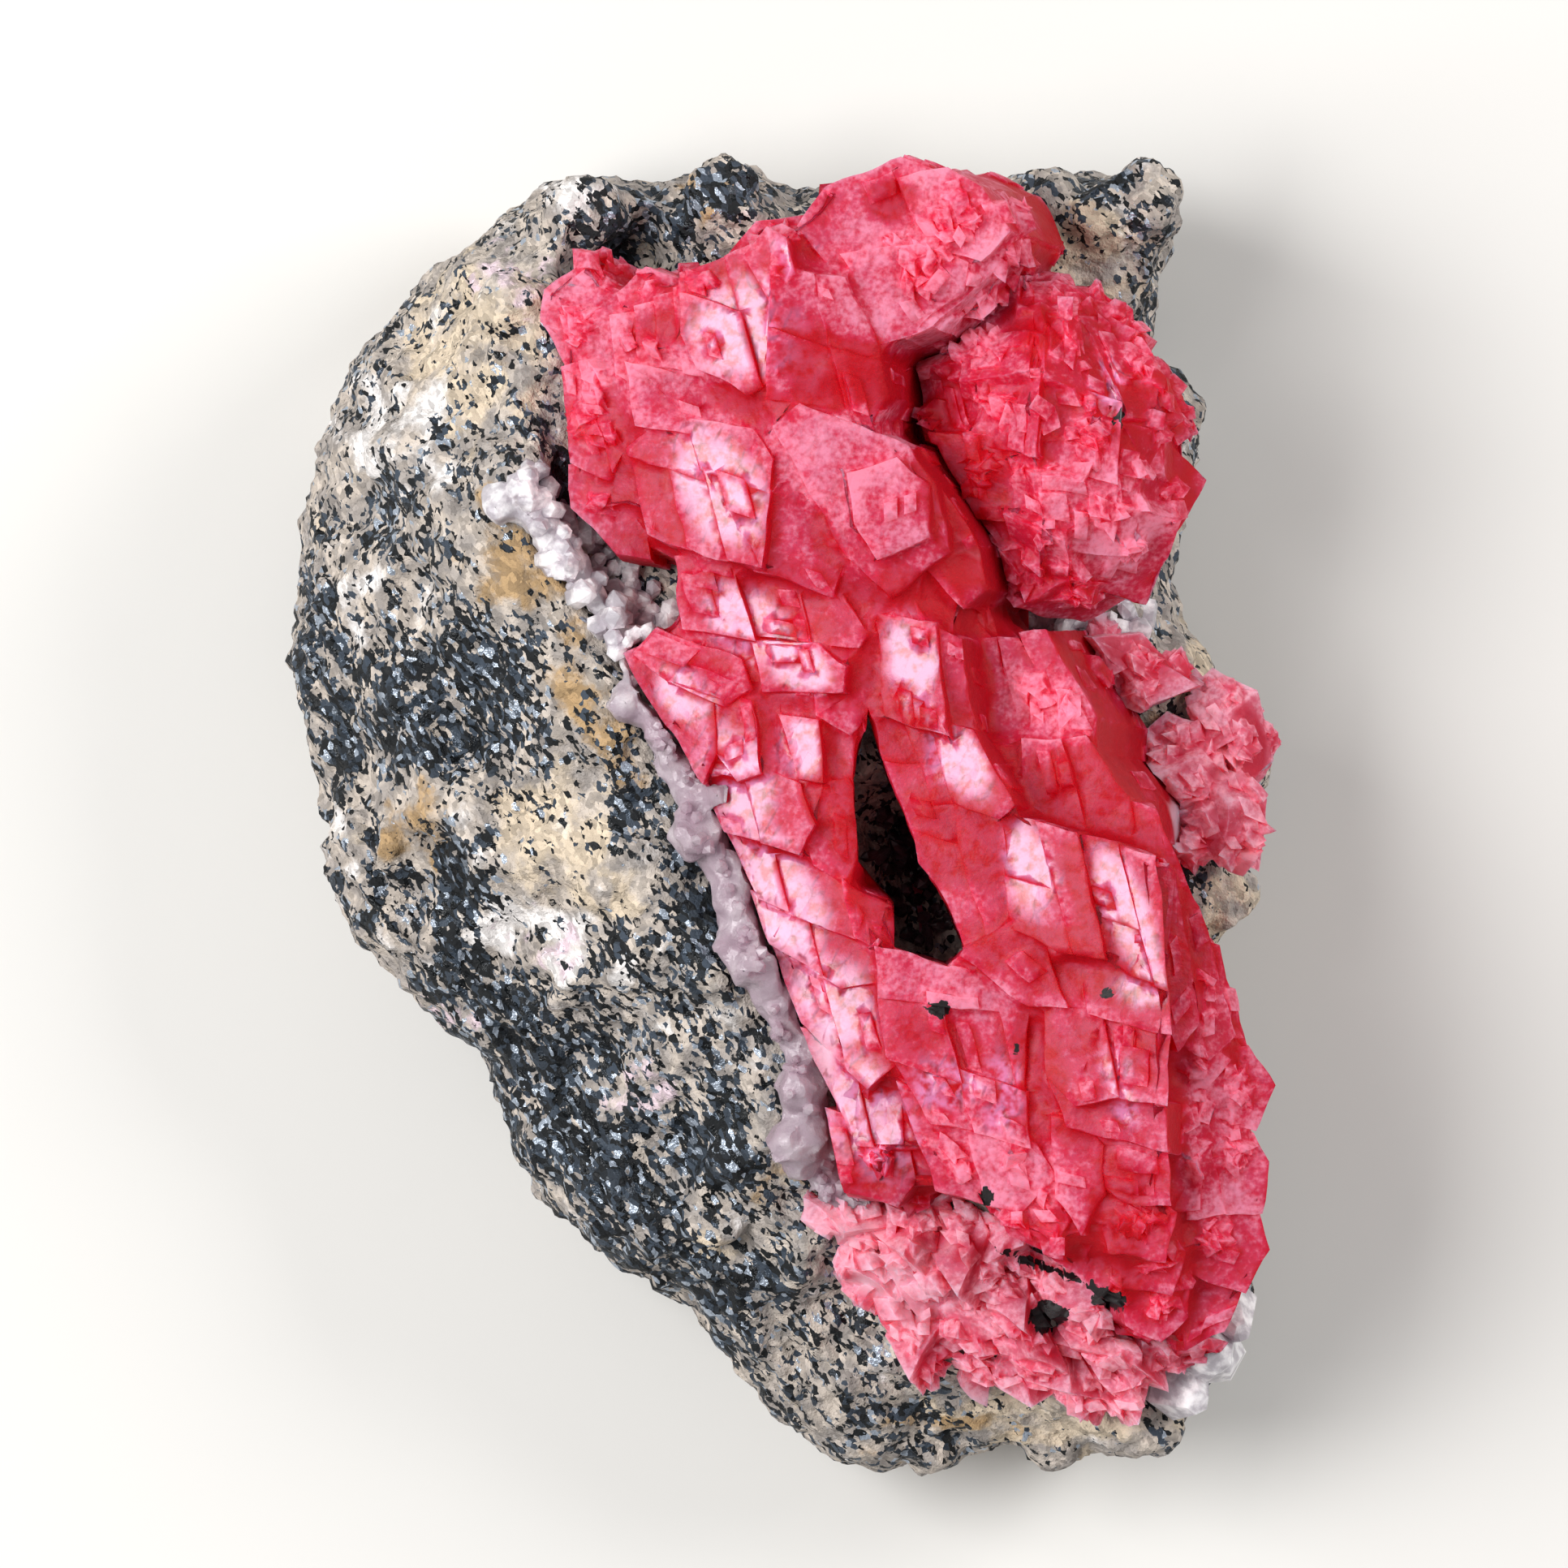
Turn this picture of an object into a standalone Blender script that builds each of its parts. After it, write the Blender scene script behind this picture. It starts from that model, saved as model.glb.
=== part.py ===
"""Rhodochrosite specimen: red rhombohedral crystals grown in a quartz-lined pocket of
foliated matrix rock, lying on its sawn back with the crystals up.

World frame in metres, +Z up. +Y runs from the specimen's foot to its head and +X to its
right-hand side. The sawn back is the plane z = 0 and the origin is the middle of it.
All sizes below are in millimetres; every solid is scaled to metres once, at the end.
"""
import math
import random

import bmesh
import bpy
from mathutils import Matrix, Vector, noise

MM = 0.001
GAP = 0.3                       # clear gap between neighbouring solids
FLAT_ANGLE = math.radians(0.6)  # faces this close to level with each other become one

# ---- matrix rock: outline seen from above, then heights of its upper face ----
ROCK_CENTRE = Vector((3.0, 0.0))
ROCK_OUTLINE = [
    (-19.9, 46.4), (-17.4, 48.5), (-11.3, 48.5), (-6.9, 49.1), (-4.5, 50.0), (-1.4, 49.6),
    (0.0, 48.2), (5.4, 47.6), (14.0, 47.6), (17.0, 48.9), (19.8, 49.6), (22.6, 48.5),
    (24.7, 49.2), (28.4, 48.9), (29.8, 47.4), (29.8, 44.9), (28.8, 41.8), (28.4, 38.0),
    (28.0, 35.1), (30.0, 34.1), (31.6, 31.7), (31.6, 27.7), (30.4, 22.4), (29.7, 16.0),
    (31.9, 13.5), (33.8, 9.8), (35.9, 7.4), (37.3, 4.0), (36.8, 1.5), (35.0, -1.5),
    (34.4, -7.4), (33.1, -8.6), (32.6, -12.0), (33.6, -17.0), (34.6, -21.0), (34.2, -27.0),
    (35.2, -31.0), (36.6, -33.4), (35.8, -36.9), (33.6, -41.2), (31.8, -44.6), (30.4, -46.6),
    (28.4, -48.3), (22.0, -47.5), (17.0, -48.0), (11.5, -48.4), (6.9, -50.0), (4.7, -49.1),
    (1.4, -47.0), (-1.4, -44.0), (-4.4, -39.5), (-6.9, -37.2), (-10.3, -35.5), (-14.0, -32.9),
    (-17.1, -29.8), (-20.2, -25.5), (-22.6, -18.4), (-24.8, -16.0), (-28.5, -12.6),
    (-32.5, -8.6), (-34.3, -4.9), (-34.6, -0.6), (-35.1, 3.7), (-36.3, 8.0), (-37.3, 11.7),
    (-37.1, 16.0), (-36.3, 19.7), (-36.3, 22.8), (-35.4, 27.1), (-34.3, 30.1), (-32.7, 35.1),
    (-29.7, 37.8), (-27.2, 40.9), (-22.9, 44.9)]
ROCK_SEGMENTS = 96
# Rings of the upper face, as shares of the way from the centre to the outline.
FRONT_RINGS = [0.22, 0.40, 0.52, 0.62, 0.70, 0.77, 0.83, 0.88, 0.925, 0.965, 0.99, 1.0]
# Rings of the side: share of the way to the outline, height as a share of SIDE_HEIGHT.
SIDE_RINGS = [(0.995, 0.78), (0.985, 0.55), (0.955, 0.30), (0.91, 0.06), (0.89, -0.14)]
SIDE_BULGE = 0.05               # share by which the side swells and dips
ROLL_OFF = 0.84                 # where the upper face starts to round over to the side
SIDE_HEIGHT = 12.5              # height of the widest line round the rock
ROCK_DETAIL = 0.42              # share of the faces kept when flat stretches are thinned

HEIGHT_SPOTS = {                # (x, y, height) on the rock's upper face
    "left flank": [(-31.5, 32.6, 20), (-27.2, 36.3, 22), (-22.3, 41.8, 24), (-24.8, 34.4, 27),
                   (-32.8, 24.0, 20), (-27.2, 27.7, 27), (-28.5, 17.8, 26), (-33.4, 16.0, 21),
                   (-27.2, 8.0, 26), (-32.8, 4.9, 20), (-22.3, 0.6, 28), (-28.5, -4.3, 22),
                   (-16.2, -10.5, 29), (-21.7, -10.5, 24), (-16.2, -17.8, 23),
                   (-8.8, -25.2, 25), (-2.6, -32.6, 24)],
    "brow": [(-21.1, 32.6, 31), (-18.6, 37.5, 30), (-20.6, 26.0, 33), (-22.3, 20.3, 32),
             (-17.8, 15.4, 34), (-21.1, 12.9, 31), (-13.5, 6.8, 34), (-16.2, 0.6, 32),
             (-8.8, -2.2, 34), (-11.3, -5.5, 32), (-4.0, -11.7, 33), (-6.3, -14.8, 31),
             (-0.5, -20.5, 31), (-3.9, -24.0, 29), (1.5, -30.1, 27)],
    "top ledge": [(-16.2, 46.4, 27), (-11.9, 42.1, 17), (-8.2, 47.4, 25), (-3.9, 46.7, 26),
                  (-5.1, 42.4, 21), (1.0, 47.6, 22), (20.7, 46.4, 22), (26.0, 47.0, 23),
                  (22.0, 42.8, 21)],
    "foot": [(4.7, -38.7, 22), (2.3, -42.4, 19), (7.2, -46.1, 18), (11.5, -46.8, 17),
             (17.7, -47.0, 17), (26.9, -46.1, 19)],
    "pocket floor": [(-13.4, 27.7, 29), (-11.9, 19.7, 26), (-8.2, 16.6, 28), (-5.7, 25.2, 31),
                     (2.3, 36.5, 31), (8.4, 41.0, 29), (-6.0, 35.4, 28), (4.0, 25.2, 32),
                     (2.3, 12.9, 31), (-3.9, 6.8, 31), (0.5, -1.0, 29), (11.5, 8.0, 31),
                     (11.5, 19.0, 27), (20.7, 5.0, 28), (20.7, -7.5, 33), (14.6, -17.8, 30),
                     (4.5, -14.5, 29), (21.5, -25.2, 30), (14.6, -28.5, 27),
                     (20.1, -36.3, 25), (11.5, -39.4, 23), (23.8, -41.2, 22),
                     (31.3, -30.1, 21), (31.8, -20.9, 22), (29.5, -11.7, 26),
                     (20.4, 28.6, 25), (22.5, 35.0, 22)],
    "hollows": [(10.2, 31.1, 17), (9.0, -3.3, 16), (10.9, -8.4, 16), (17.3, 17.2, 16),
                (16.2, 6.8, 19), (26.9, 2.5, 15)],
    "right flank": [(26.9, 40.6, 19), (27.5, 35.7, 16), (30.0, 30.8, 15), (29.3, 19.7, 17),
                    (25.6, 14.8, 20), (30.0, 11.1, 21), (26.9, 6.8, 20), (34.3, 8.0, 17),
                    (31.8, 3.1, 19), (35.8, 3.1, 14), (31.8, -4.3, 18), (32.4, -10.0, 16)]}
SPOT_REACH = 1.6                # distance over which a height spot is level
SPOT_FADE = 2.2                 # how fast a spot's pull fades beyond that
LUMPS = [(1.9, 7.5, 1.3), (1.1, 3.6, 2.1)]      # height, breadth, seed of the rock's lumps
POCKET_AREA = [(-15.0, 38.0), (-2.0, 44.0), (6.0, 46.0), (16.0, 45.0), (27.0, 36.0), (29.0, 24.0),
               (24.0, 16.0), (25.0, 6.0), (29.0, -8.0), (33.0, -18.0), (33.0, -34.0),
               (26.0, -41.0), (14.0, -42.0), (6.0, -34.0), (5.0, -24.0), (0.0, -12.0),
               (-6.0, 0.0), (-10.0, 12.0), (-12.0, 24.0)]     # covered by crystals: no relief

FOLIATION_ACROSS = Vector((-0.762, -0.647))     # across the layers of the lower left side
FOLIATION_PITCH = 2.7
FOLIATION_RELIEF = 0.55
KNOBS = [                       # (x, y, z, radius) of lumps that stand out of the rock
    (27.4, 46.4, 20.0, 3.6), (20.3, 46.6, 19.0, 3.0), (24.2, 45.4, 21.0, 2.6),
    (29.2, 31.4, 14.5, 3.0), (33.0, -5.2, 14.5, 3.4), (27.2, -45.6, 15.5, 3.6),
    (21.0, -46.4, 13.0, 3.0), (-4.4, 47.0, 21.0, 3.4), (-14.6, 45.6, 22.0, 3.2),
    (-12.5, -4.6, 31.0, 2.4), (-9.4, -9.2, 31.2, 1.9), (-5.1, -30.0, 25.0, 2.5),
    (-20.0, 38.4, 28.5, 3.0), (34.2, 7.4, 15.0, 2.8), (12.0, -47.2, 12.5, 3.0)]

# ---- rhodochrosite cluster: each crystal by its upper face, which its sides run down from ----
CLUSTER = {                     # crystal faces: height at the middle, rise per mm in x and y, outline
    "crown": [
        (38.5, -0.06, -0.05, [(1.4, 44.2), (3.6, 46.6), (9.0, 49.0), (14.6, 47.2), (17.4, 43.4),
            (15.5, 40.9), (11.5, 36.8), (7.5, 35.5), (5.0, 39.7)]),
        (39.4, 0.1, 0.05, [(8.9, 47.5), (12.4, 48.2), (14.8, 46.7), (16.9, 43.7), (14.9, 41.7),
            (10.9, 42.6)]),
        (39.1, 0.0, 0.14, [(4.6, 41.8), (10.1, 42.7), (13.7, 41.3), (13.5, 39.1), (9.2, 35.8),
            (7.1, 37.9)]),
        (36.2, 0.05, 0.0, [(-3.6, 42.3), (-1.5, 44.4), (1.7, 44.9), (2.3, 42.9), (-1.1, 41.8)])],
    "upper mass": [
        (40.1, 0.34, -0.05, [(-7.3, 40.5), (-2.0, 42.4), (0.2, 41.1), (-0.1, 33.2), (-2.3, 31.5),
            (-6.0, 33.5), (-7.2, 36.3)]),
        (40.3, -0.26, 0.16, [(-0.7, 40.9), (4.7, 40.0), (7.2, 35.3), (7.9, 31.4), (6.6, 29.6),
            (-0.9, 31.1)]),
        (41.2, 0.34, -0.05, [(-2.5, 41.7), (-1.0, 43.5), (0.3, 43.0), (1.0, 40.5), (-0.8, 38.5)]),
        (38.2, 0.2, 0.0, [(-7.8, 39.1), (-6.2, 40.1), (-5.7, 33.1), (-7.2, 33.3)]),
        (37.6, 0.2, 0.0, [(-9.3, 38.4), (-7.7, 38.9), (-6.9, 33.5), (-8.9, 33.7)]),
        (37.0, 0.2, 0.0, [(-10.8, 37.9), (-9.1, 38.3), (-8.5, 33.5), (-10.4, 33.7)]),
        (36.2, 0.2, 0.0, [(-12.4, 37.3), (-10.6, 37.6), (-10.3, 33.6), (-12.2, 33.1)])],
    "left wing": [
        (33.6, 0.12, -0.05, [(-17.4, 39.6), (-14.7, 41.6), (-12.4, 38.7), (-12.5, 36.0),
            (-15.8, 33.7), (-17.5, 37.3)]),
        (35.4, 0.08, 0.05, [(-12.0, 39.1), (-10.0, 41.2), (-6.8, 39.7), (-7.7, 38.0),
            (-11.4, 37.1)]),
        (34.6, 0.16, 0.0, [(-16.3, 33.7), (-12.6, 34.4), (-11.6, 27.7), (-13.0, 25.5),
            (-15.7, 26.9)]),
        (33.4, 0.12, 0.05, [(-15.8, 26.3), (-13.5, 26.6), (-10.0, 21.4), (-10.0, 19.6),
            (-12.4, 19.9), (-15.1, 23.2)])],
    "middle mass": [
        (37.7, 0.06, -0.14, [(-11.4, 33.9), (-4.6, 32.1), (-3.6, 29.5), (-6.9, 28.8),
            (-10.6, 29.4)]),
        (38.3, 0.34, -0.05, [(-11.3, 27.7), (-7.9, 30.0), (-2.2, 28.9), (-0.6, 26.8),
            (-1.5, 18.8), (-5.7, 20.0), (-10.0, 21.4)]),
        (37.2, -0.42, 0.0, [(11.4, 25.3), (14.6, 20.5), (15.1, 17.3), (13.7, 15.9), (10.9, 18.8)]),
        (37.6, 0.0, 0.3, [(5.7, 18.1), (10.6, 18.1), (9.9, 15.3), (7.1, 14.6)])],
    "shield": [
        (39.0, -0.05, 0.1, [(-2.0, 27.6), (0.8, 26.6), (4.7, 19.7), (3.9, 16.7), (-1.7, 18.8)]),
        (40.0, -0.14, 0.05, [(-0.5, 29.0), (1.5, 30.5), (6.0, 28.8), (9.4, 27.7), (11.4, 25.0),
            (12.4, 20.0), (8.3, 16.7), (4.9, 19.7), (2.3, 24.5)]),
        (40.8, -0.18, 0.0, [(5.1, 25.5), (8.7, 26.6), (10.8, 24.8), (10.9, 21.0), (7.2, 19.4),
            (5.5, 22.0)])],
    "steps": [
        (36.7, 0.22, -0.05, [(-7.7, 19.7), (-3.9, 19.7), (-3.0, 15.1), (-1.9, 13.4),
            (-7.2, 14.5)]),
        (37.6, 0.26, -0.05, [(-4.1, 19.3), (4.4, 16.9), (6.1, 14.1), (5.7, 12.8), (-1.9, 13.8)]),
        (37.9, 0.34, -0.05, [(-2.0, 13.4), (2.6, 12.9), (4.7, 11.3), (4.5, 9.5), (-1.0, 9.7)]),
        (37.1, -0.12, 0.0, [(2.3, 13.9), (6.2, 13.0), (6.5, 8.5), (5.1, 6.5), (2.9, 8.0)]),
        (36.5, 0.12, 0.0, [(-2.5, 9.7), (2.4, 9.1), (5.5, 7.0), (5.5, 2.8), (0.8, 2.3),
            (-2.0, 6.8)]),
        (37.4, 0.34, -0.05, [(0.1, 7.7), (2.6, 7.3), (3.1, 3.1), (1.3, 3.2)])],
    "left arm": [
        (36.0, 0.22, -0.05, [(-10.9, 12.2), (-9.0, 14.1), (-3.1, 11.8), (-2.2, 9.7), (-4.1, 8.5),
            (-8.2, 10.3)]),
        (35.3, 0.26, -0.05, [(-11.7, 12.2), (-9.7, 13.0), (-5.2, 8.7), (-4.9, 5.2), (-5.8, 2.8),
            (-8.8, 7.7)]),
        (36.4, 0.34, -0.05, [(-5.8, 9.8), (-2.3, 8.7), (-1.5, 3.6), (-3.1, 3.1), (-5.0, 5.5)]),
        (35.8, 0.3, -0.05, [(-6.0, 3.1), (-4.9, 5.3), (1.4, 2.7), (2.4, -0.1), (1.4, -2.3),
            (-4.0, -0.6)]),
        (36.4, 0.0, 0.05, [(1.2, 2.6), (5.0, 3.0), (6.0, 0.4), (5.2, -4.9), (2.6, -3.2)]),
        (35.6, 0.3, -0.05, [(-4.5, 0.0), (1.3, -1.6), (4.9, -4.3), (6.1, -7.0), (5.4, -8.9),
            (-1.7, -5.7)]),
        (36.1, -0.22, 0.0, [(4.7, -4.4), (8.4, -6.6), (8.7, -8.6), (7.6, -9.7), (5.5, -8.7)]),
        (35.2, 0.3, -0.05, [(-2.2, -5.2), (1.4, -7.0), (7.3, -9.6), (7.7, -11.9), (4.5, -12.4),
            (-0.8, -9.1)]),
        (34.9, 0.3, -0.05, [(-0.7, -9.2), (3.0, -11.2), (7.8, -12.1), (8.7, -17.8), (6.6, -19.9),
            (1.5, -15.1)]),
        (34.1, 0.22, 0.0, [(1.5, -15.5), (4.7, -17.0), (8.8, -17.7), (9.2, -24.0), (5.7, -24.2)]),
        (33.1, 0.12, 0.1, [(3.4, -21.6), (6.6, -23.2), (9.3, -23.7), (10.1, -26.8), (8.8, -28.5),
            (4.9, -27.7)])],
    "right arm": [
        (38.8, 0.34, -0.05, [(7.4, 15.3), (11.3, 14.4), (11.6, 8.0), (12.4, 6.3), (7.9, 7.7)]),
        (38.2, -0.22, 0.0, [(11.0, 14.3), (13.5, 13.3), (14.6, 6.3), (12.2, 6.4)]),
        (37.3, 0.08, 0.0, [(5.8, 13.4), (7.6, 14.9), (8.2, 7.7), (11.6, 6.8), (12.5, 1.4),
            (10.1, 1.2), (6.3, 6.8)]),
        (38.9, 0.34, -0.05, [(11.3, 7.5), (14.3, 6.5), (17.2, 1.5), (16.2, 0.4), (12.5, 1.4)]),
        (37.8, 0.12, 0.05, [(7.7, 4.3), (11.6, 3.7), (12.5, 1.5), (16.4, 0.6), (17.3, -7.7),
            (14.8, -10.8), (12.9, -9.6), (9.2, 0.0)]),
        (39.8, 0.3, -0.05, [(16.1, 0.7), (22.0, -1.1), (23.9, -10.0), (20.7, -9.5), (17.3, -8.1)]),
        (40.8, 0.34, -0.05, [(21.6, -1.0), (27.9, -2.8), (28.6, -12.5), (25.9, -11.3),
            (23.8, -9.7)]),
        (38.9, 0.12, 0.1, [(13.2, -9.7), (17.2, -7.7), (23.9, -9.8), (26.4, -11.4),
            (26.0, -14.4), (18.4, -13.7)]),
        (39.9, 0.3, -0.05, [(22.4, -10.2), (26.0, -11.1), (28.6, -12.5), (28.6, -15.7),
            (22.8, -14.3)]),
        (38.8, 0.26, -0.05, [(19.6, -13.7), (24.0, -14.5), (24.9, -20.5), (21.7, -20.9),
            (20.0, -18.8)]),
        (39.6, 0.34, -0.05, [(23.7, -14.6), (28.6, -15.6), (28.5, -21.2), (24.8, -20.5)]),
        (38.5, 0.2, 0.05, [(20.0, -19.1), (23.4, -20.4), (28.6, -20.9), (28.7, -24.5),
            (21.3, -22.9)]),
        (37.3, 0.12, 0.1, [(20.0, -22.0), (22.1, -22.4), (23.8, -24.2), (23.9, -27.6),
            (22.4, -30.4), (20.6, -27.8)]),
        (37.6, 0.2, 0.1, [(23.1, -23.1), (28.6, -24.0), (29.0, -28.7), (25.4, -28.2),
            (23.3, -26.4)]),
        (36.3, 0.1, 0.12, [(23.3, -26.3), (27.1, -27.6), (29.2, -29.2), (28.7, -32.8),
            (24.5, -32.2)]),
        (38.0, -0.3, 0.0, [(28.4, -3.0), (29.6, -4.3), (31.2, -15.0), (29.5, -17.1),
            (28.4, -12.5)])],
    "side strip": [
        (33.0, 0.1, 0.0, [(13.6, 13.5), (18.0, 13.4), (21.5, 8.7), (20.2, 5.3), (17.5, 4.8),
            (14.0, 10.3)]),
        (33.9, 0.1, 0.0, [(17.9, 13.8), (19.9, 14.1), (23.6, 7.7), (23.7, 5.3), (21.0, 6.8)]),
        (35.5, 0.1, 0.05, [(18.1, 5.8), (22.8, 6.0), (25.9, 1.6), (26.3, -0.9), (23.8, -2.1),
            (18.4, 0.4)]),
        (35.4, 0.06, 0.0, [(25.8, 1.4), (28.0, 0.7), (30.2, -4.7), (28.6, -5.2), (26.4, -2.5)]),
        (35.0, -0.32, 0.0, [(29.3, -3.1), (31.3, -6.6), (33.9, -16.1), (31.9, -17.5),
            (29.7, -15.5)]),
        (32.6, -0.3, 0.0, [(30.4, -9.1), (32.8, -9.7), (34.9, -17.3), (33.0, -18.1)])],
    "lower block": [
        (37.6, -0.05, 0.1, [(7.3, -9.3), (14.3, -11.4), (17.8, -12.5), (17.2, -14.4),
            (7.6, -13.0)]),
        (37.0, 0.02, 0.05, [(7.4, -12.1), (18.5, -14.1), (18.1, -21.6), (18.6, -24.2),
            (11.5, -22.4), (7.9, -17.2)]),
        (36.2, 0.02, 0.1, [(8.8, -19.6), (18.6, -23.5), (20.2, -26.6), (17.9, -29.3),
            (11.5, -27.2)]),
        (35.8, 0.0, 0.12, [(14.2, -23.7), (18.8, -24.5), (21.1, -28.4), (21.0, -32.6),
            (17.0, -30.9)]),
        (35.5, 0.0, 0.0, [(17.5, -13.9), (20.4, -13.7), (21.0, -22.8), (21.6, -30.4),
            (19.9, -29.2), (18.1, -22.8)]),
        (34.0, 0.0, 0.1, [(20.7, -29.4), (24.0, -30.0), (24.9, -34.2), (23.7, -35.5),
            (20.2, -32.3)])],
    "right edge": [
        (34.3, -0.1, 0.0, [(28.5, -15.9), (30.8, -15.9), (33.3, -17.7), (31.7, -20.0),
            (28.7, -19.7)]),
        (32.7, -0.2, 0.0, [(29.2, -17.6), (35.1, -17.1), (36.7, -20.0), (35.5, -22.8),
            (30.3, -21.5)]),
        (32.8, -0.22, 0.05, [(30.1, -21.4), (35.2, -23.5), (36.5, -25.7), (35.9, -29.2),
            (30.6, -29.5)]),
        (33.6, 0.0, 0.0, [(28.4, -24.1), (30.4, -21.9), (31.3, -28.9), (29.1, -29.3)]),
        (31.5, -0.2, 0.08, [(29.8, -29.4), (35.7, -29.5), (36.5, -32.1), (34.7, -35.2),
            (30.3, -33.8)]),
        (31.9, -0.1, 0.16, [(25.5, -33.8), (29.3, -31.1), (30.7, -33.3), (30.3, -37.1),
            (28.5, -38.9), (26.0, -37.5)]),
        (29.9, -0.1, 0.22, [(29.7, -34.8), (34.7, -34.8), (33.1, -38.1), (30.3, -39.5)]),
        (33.6, 0.0, 0.1, [(24.4, -28.7), (28.4, -29.9), (30.1, -32.2), (29.2, -35.3),
            (25.4, -34.6)])]}
WHOLE_GROUPS = ("crown", "shield")              # their faces grew as one; the others are stepped
STEP_AREA = 30.0                # face area above which a face is parted into growth steps
STEP_SHARE = (0.36, 0.64)       # where across the face it parts
STEP_RISE = 0.5                 # greatest rise or drop of a step
STEP_TILT = 0.04                # greatest change of slope of a step
OVERLAP = 0.2                   # added round each outline, so that neighbours grow together
STRAY = 0.12                    # how far a corner strays from its outline
RUN_STRAY = 0.03                # how far the sides' direction strays
FLARE = 0.5                     # how far the sides spread on the way down
RUN_IN = Vector((0.26, -0.05, -0.964))          # direction of the sides, down into the rock
EDGE_RUN_IN = Vector((-0.15, 0.05, -0.99))      # the same on the rock's right-hand edge
EDGE_START = 25.0               # x from which that edge counts
ROOT_DEPTH = 3.2                # how far the sides reach below the rock's surface

# ---- lattice directions of the small crystals in the crust and the patches ----
EDGE_DOWN = Vector((0.26, -0.955, 0.14))        # long edge, towards the foot
EDGE_RIGHT = Vector((0.90, -0.30, 0.32))        # short edge, to the right and up
EDGE_IN = Vector((0.45, 0.15, -0.88))           # depth edge, into the rock

# ---- rounded aggregate of fanned crystals on the upper right ----
DOME_CENTRE = (20.3, 28.4, 26.5)
DOME_RADII = (9.6, 12.6, 10.0)
DOME_TURN = math.radians(16.0)
DOME_CRYSTALS = 22
DOME_HEART = 0.80               # size of the solid heart against the dome
DOME_CRYSTAL = (7.6, 6.0, 5.0)

# ---- crust of small curved crystals at the foot, and the two small patches ----
CRUST_AREA = [(4.1, -27.1), (9.0, -28.3), (14.6, -30.4), (20.7, -31.7), (28.1, -32.6),
              (30.1, -35.7), (29.8, -40.0), (26.9, -42.7), (20.7, -44.8), (14.6, -44.8),
              (11.5, -42.1), (8.4, -37.5), (5.4, -33.2), (3.5, -29.5)]
CRUST_PITCH = 3.1
CRUST_CRYSTAL = (4.4, 3.9, 4.4)
UPPER_PATCH = [(25.4, 14.2), (29.0, 14.0), (30.2, 10.4), (27.0, 9.4)]
LOWER_PATCH = [(28.2, -2.4), (29.8, 6.4), (33.4, 8.2), (35.2, 3.8), (32.6, -1.4)]
PATCH_PITCH = 2.9
PATCH_CRYSTAL = (4.4, 4.0, 4.0)

# ---- quartz: vein wall on the left, druses, and the white corner block ----
VEIN_PATH = [(-19.5, 24.6), (-17.6, 21.0), (-15.0, 17.2), (-12.4, 13.2), (-10.6, 9.4),
             (-8.6, 5.4), (-6.4, 1.4), (-4.6, -3.0), (-2.8, -7.6), (-1.2, -12.0),
             (0.8, -16.6), (2.2, -21.4), (3.2, -26.2), (3.8, -29.4)]
VEIN_BAND = 1.35                # radius of the massive quartz along the path
VEIN_LIFT = 0.4
VEIN_STEP = 2.9
VEIN_POINT = (1.9, 5.2)         # crystal radius and length
VEIN_DRUSE = [(-17.4, 22.2), (-14.8, 22.6), (-11.4, 17.0), (-9.4, 14.6), (-9.4, 12.0),
              (-12.6, 14.4)]
RIGHT_DRUSE = [(14.6, 14.6), (19.0, 17.2), (25.0, 17.2), (27.4, 12.4), (25.2, 8.4),
               (22.0, 10.6), (20.4, 13.4)]
DRUSE_PITCH = 2.6
DRUSE_POINT = (1.8, 5.4)
HOLLOW_DRUSE = [(7.0, 1.6), (9.6, -1.0), (12.2, -7.0), (12.0, -10.0), (8.6, -8.0),
                (6.6, -2.6)]
HOLLOW_PITCH = 2.1
HOLLOW_POINT = (1.5, 3.8)
CORNER_BLOCKS = [               # (x, y, z), radius, length of each stubby crystal
    (34.2, -37.4, 20.5, 2.8, 10.0), (32.5, -40.3, 20.8, 3.1, 10.0),
    (30.7, -43.2, 19.8, 2.7, 9.0), (33.6, -40.9, 18.4, 2.5, 9.0)]

FINISHES = {                    # node: base colour (linear), roughness
    "matrix_rock": ((0.30, 0.26, 0.22), 0.85),
    "rhodochrosite_cluster": ((0.70, 0.03, 0.06), 0.28),
    "rhodochrosite_dome": ((0.66, 0.05, 0.08), 0.35),
    "rhodochrosite_crust": ((0.68, 0.12, 0.16), 0.40),
    "rhodochrosite_upper_patch": ((0.70, 0.16, 0.18), 0.40),
    "rhodochrosite_lower_patch": ((0.70, 0.18, 0.22), 0.40),
    "quartz_vein": ((0.70, 0.64, 0.68), 0.40),
    "quartz_druse": ((0.55, 0.48, 0.55), 0.35),
    "quartz_corner": ((0.78, 0.78, 0.80), 0.35),
    "hollow_druse": ((0.10, 0.07, 0.09), 0.30)}


def clear_scene():
    """Start from an empty scene."""
    for thing in list(bpy.data.objects):
        bpy.data.objects.remove(thing, do_unlink=True)


def smooth(value, low, high):
    """0 below low, 1 above high and an eased ramp between them."""
    share = min(1.0, max(0.0, (value - low) / (high - low)))
    return share * share * (3.0 - 2.0 * share)


def rough(x, y, z, size, seed=0.0):
    """Smooth seeded noise in -1..1 with bumps about `size` across."""
    return noise.noise(Vector((x / size + seed, y / size - seed, z / size + 3.7 * seed)))


# ------------------------------------------------------------------ matrix rock
ALL_SPOTS = [spot for group in HEIGHT_SPOTS.values() for spot in group]


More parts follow.
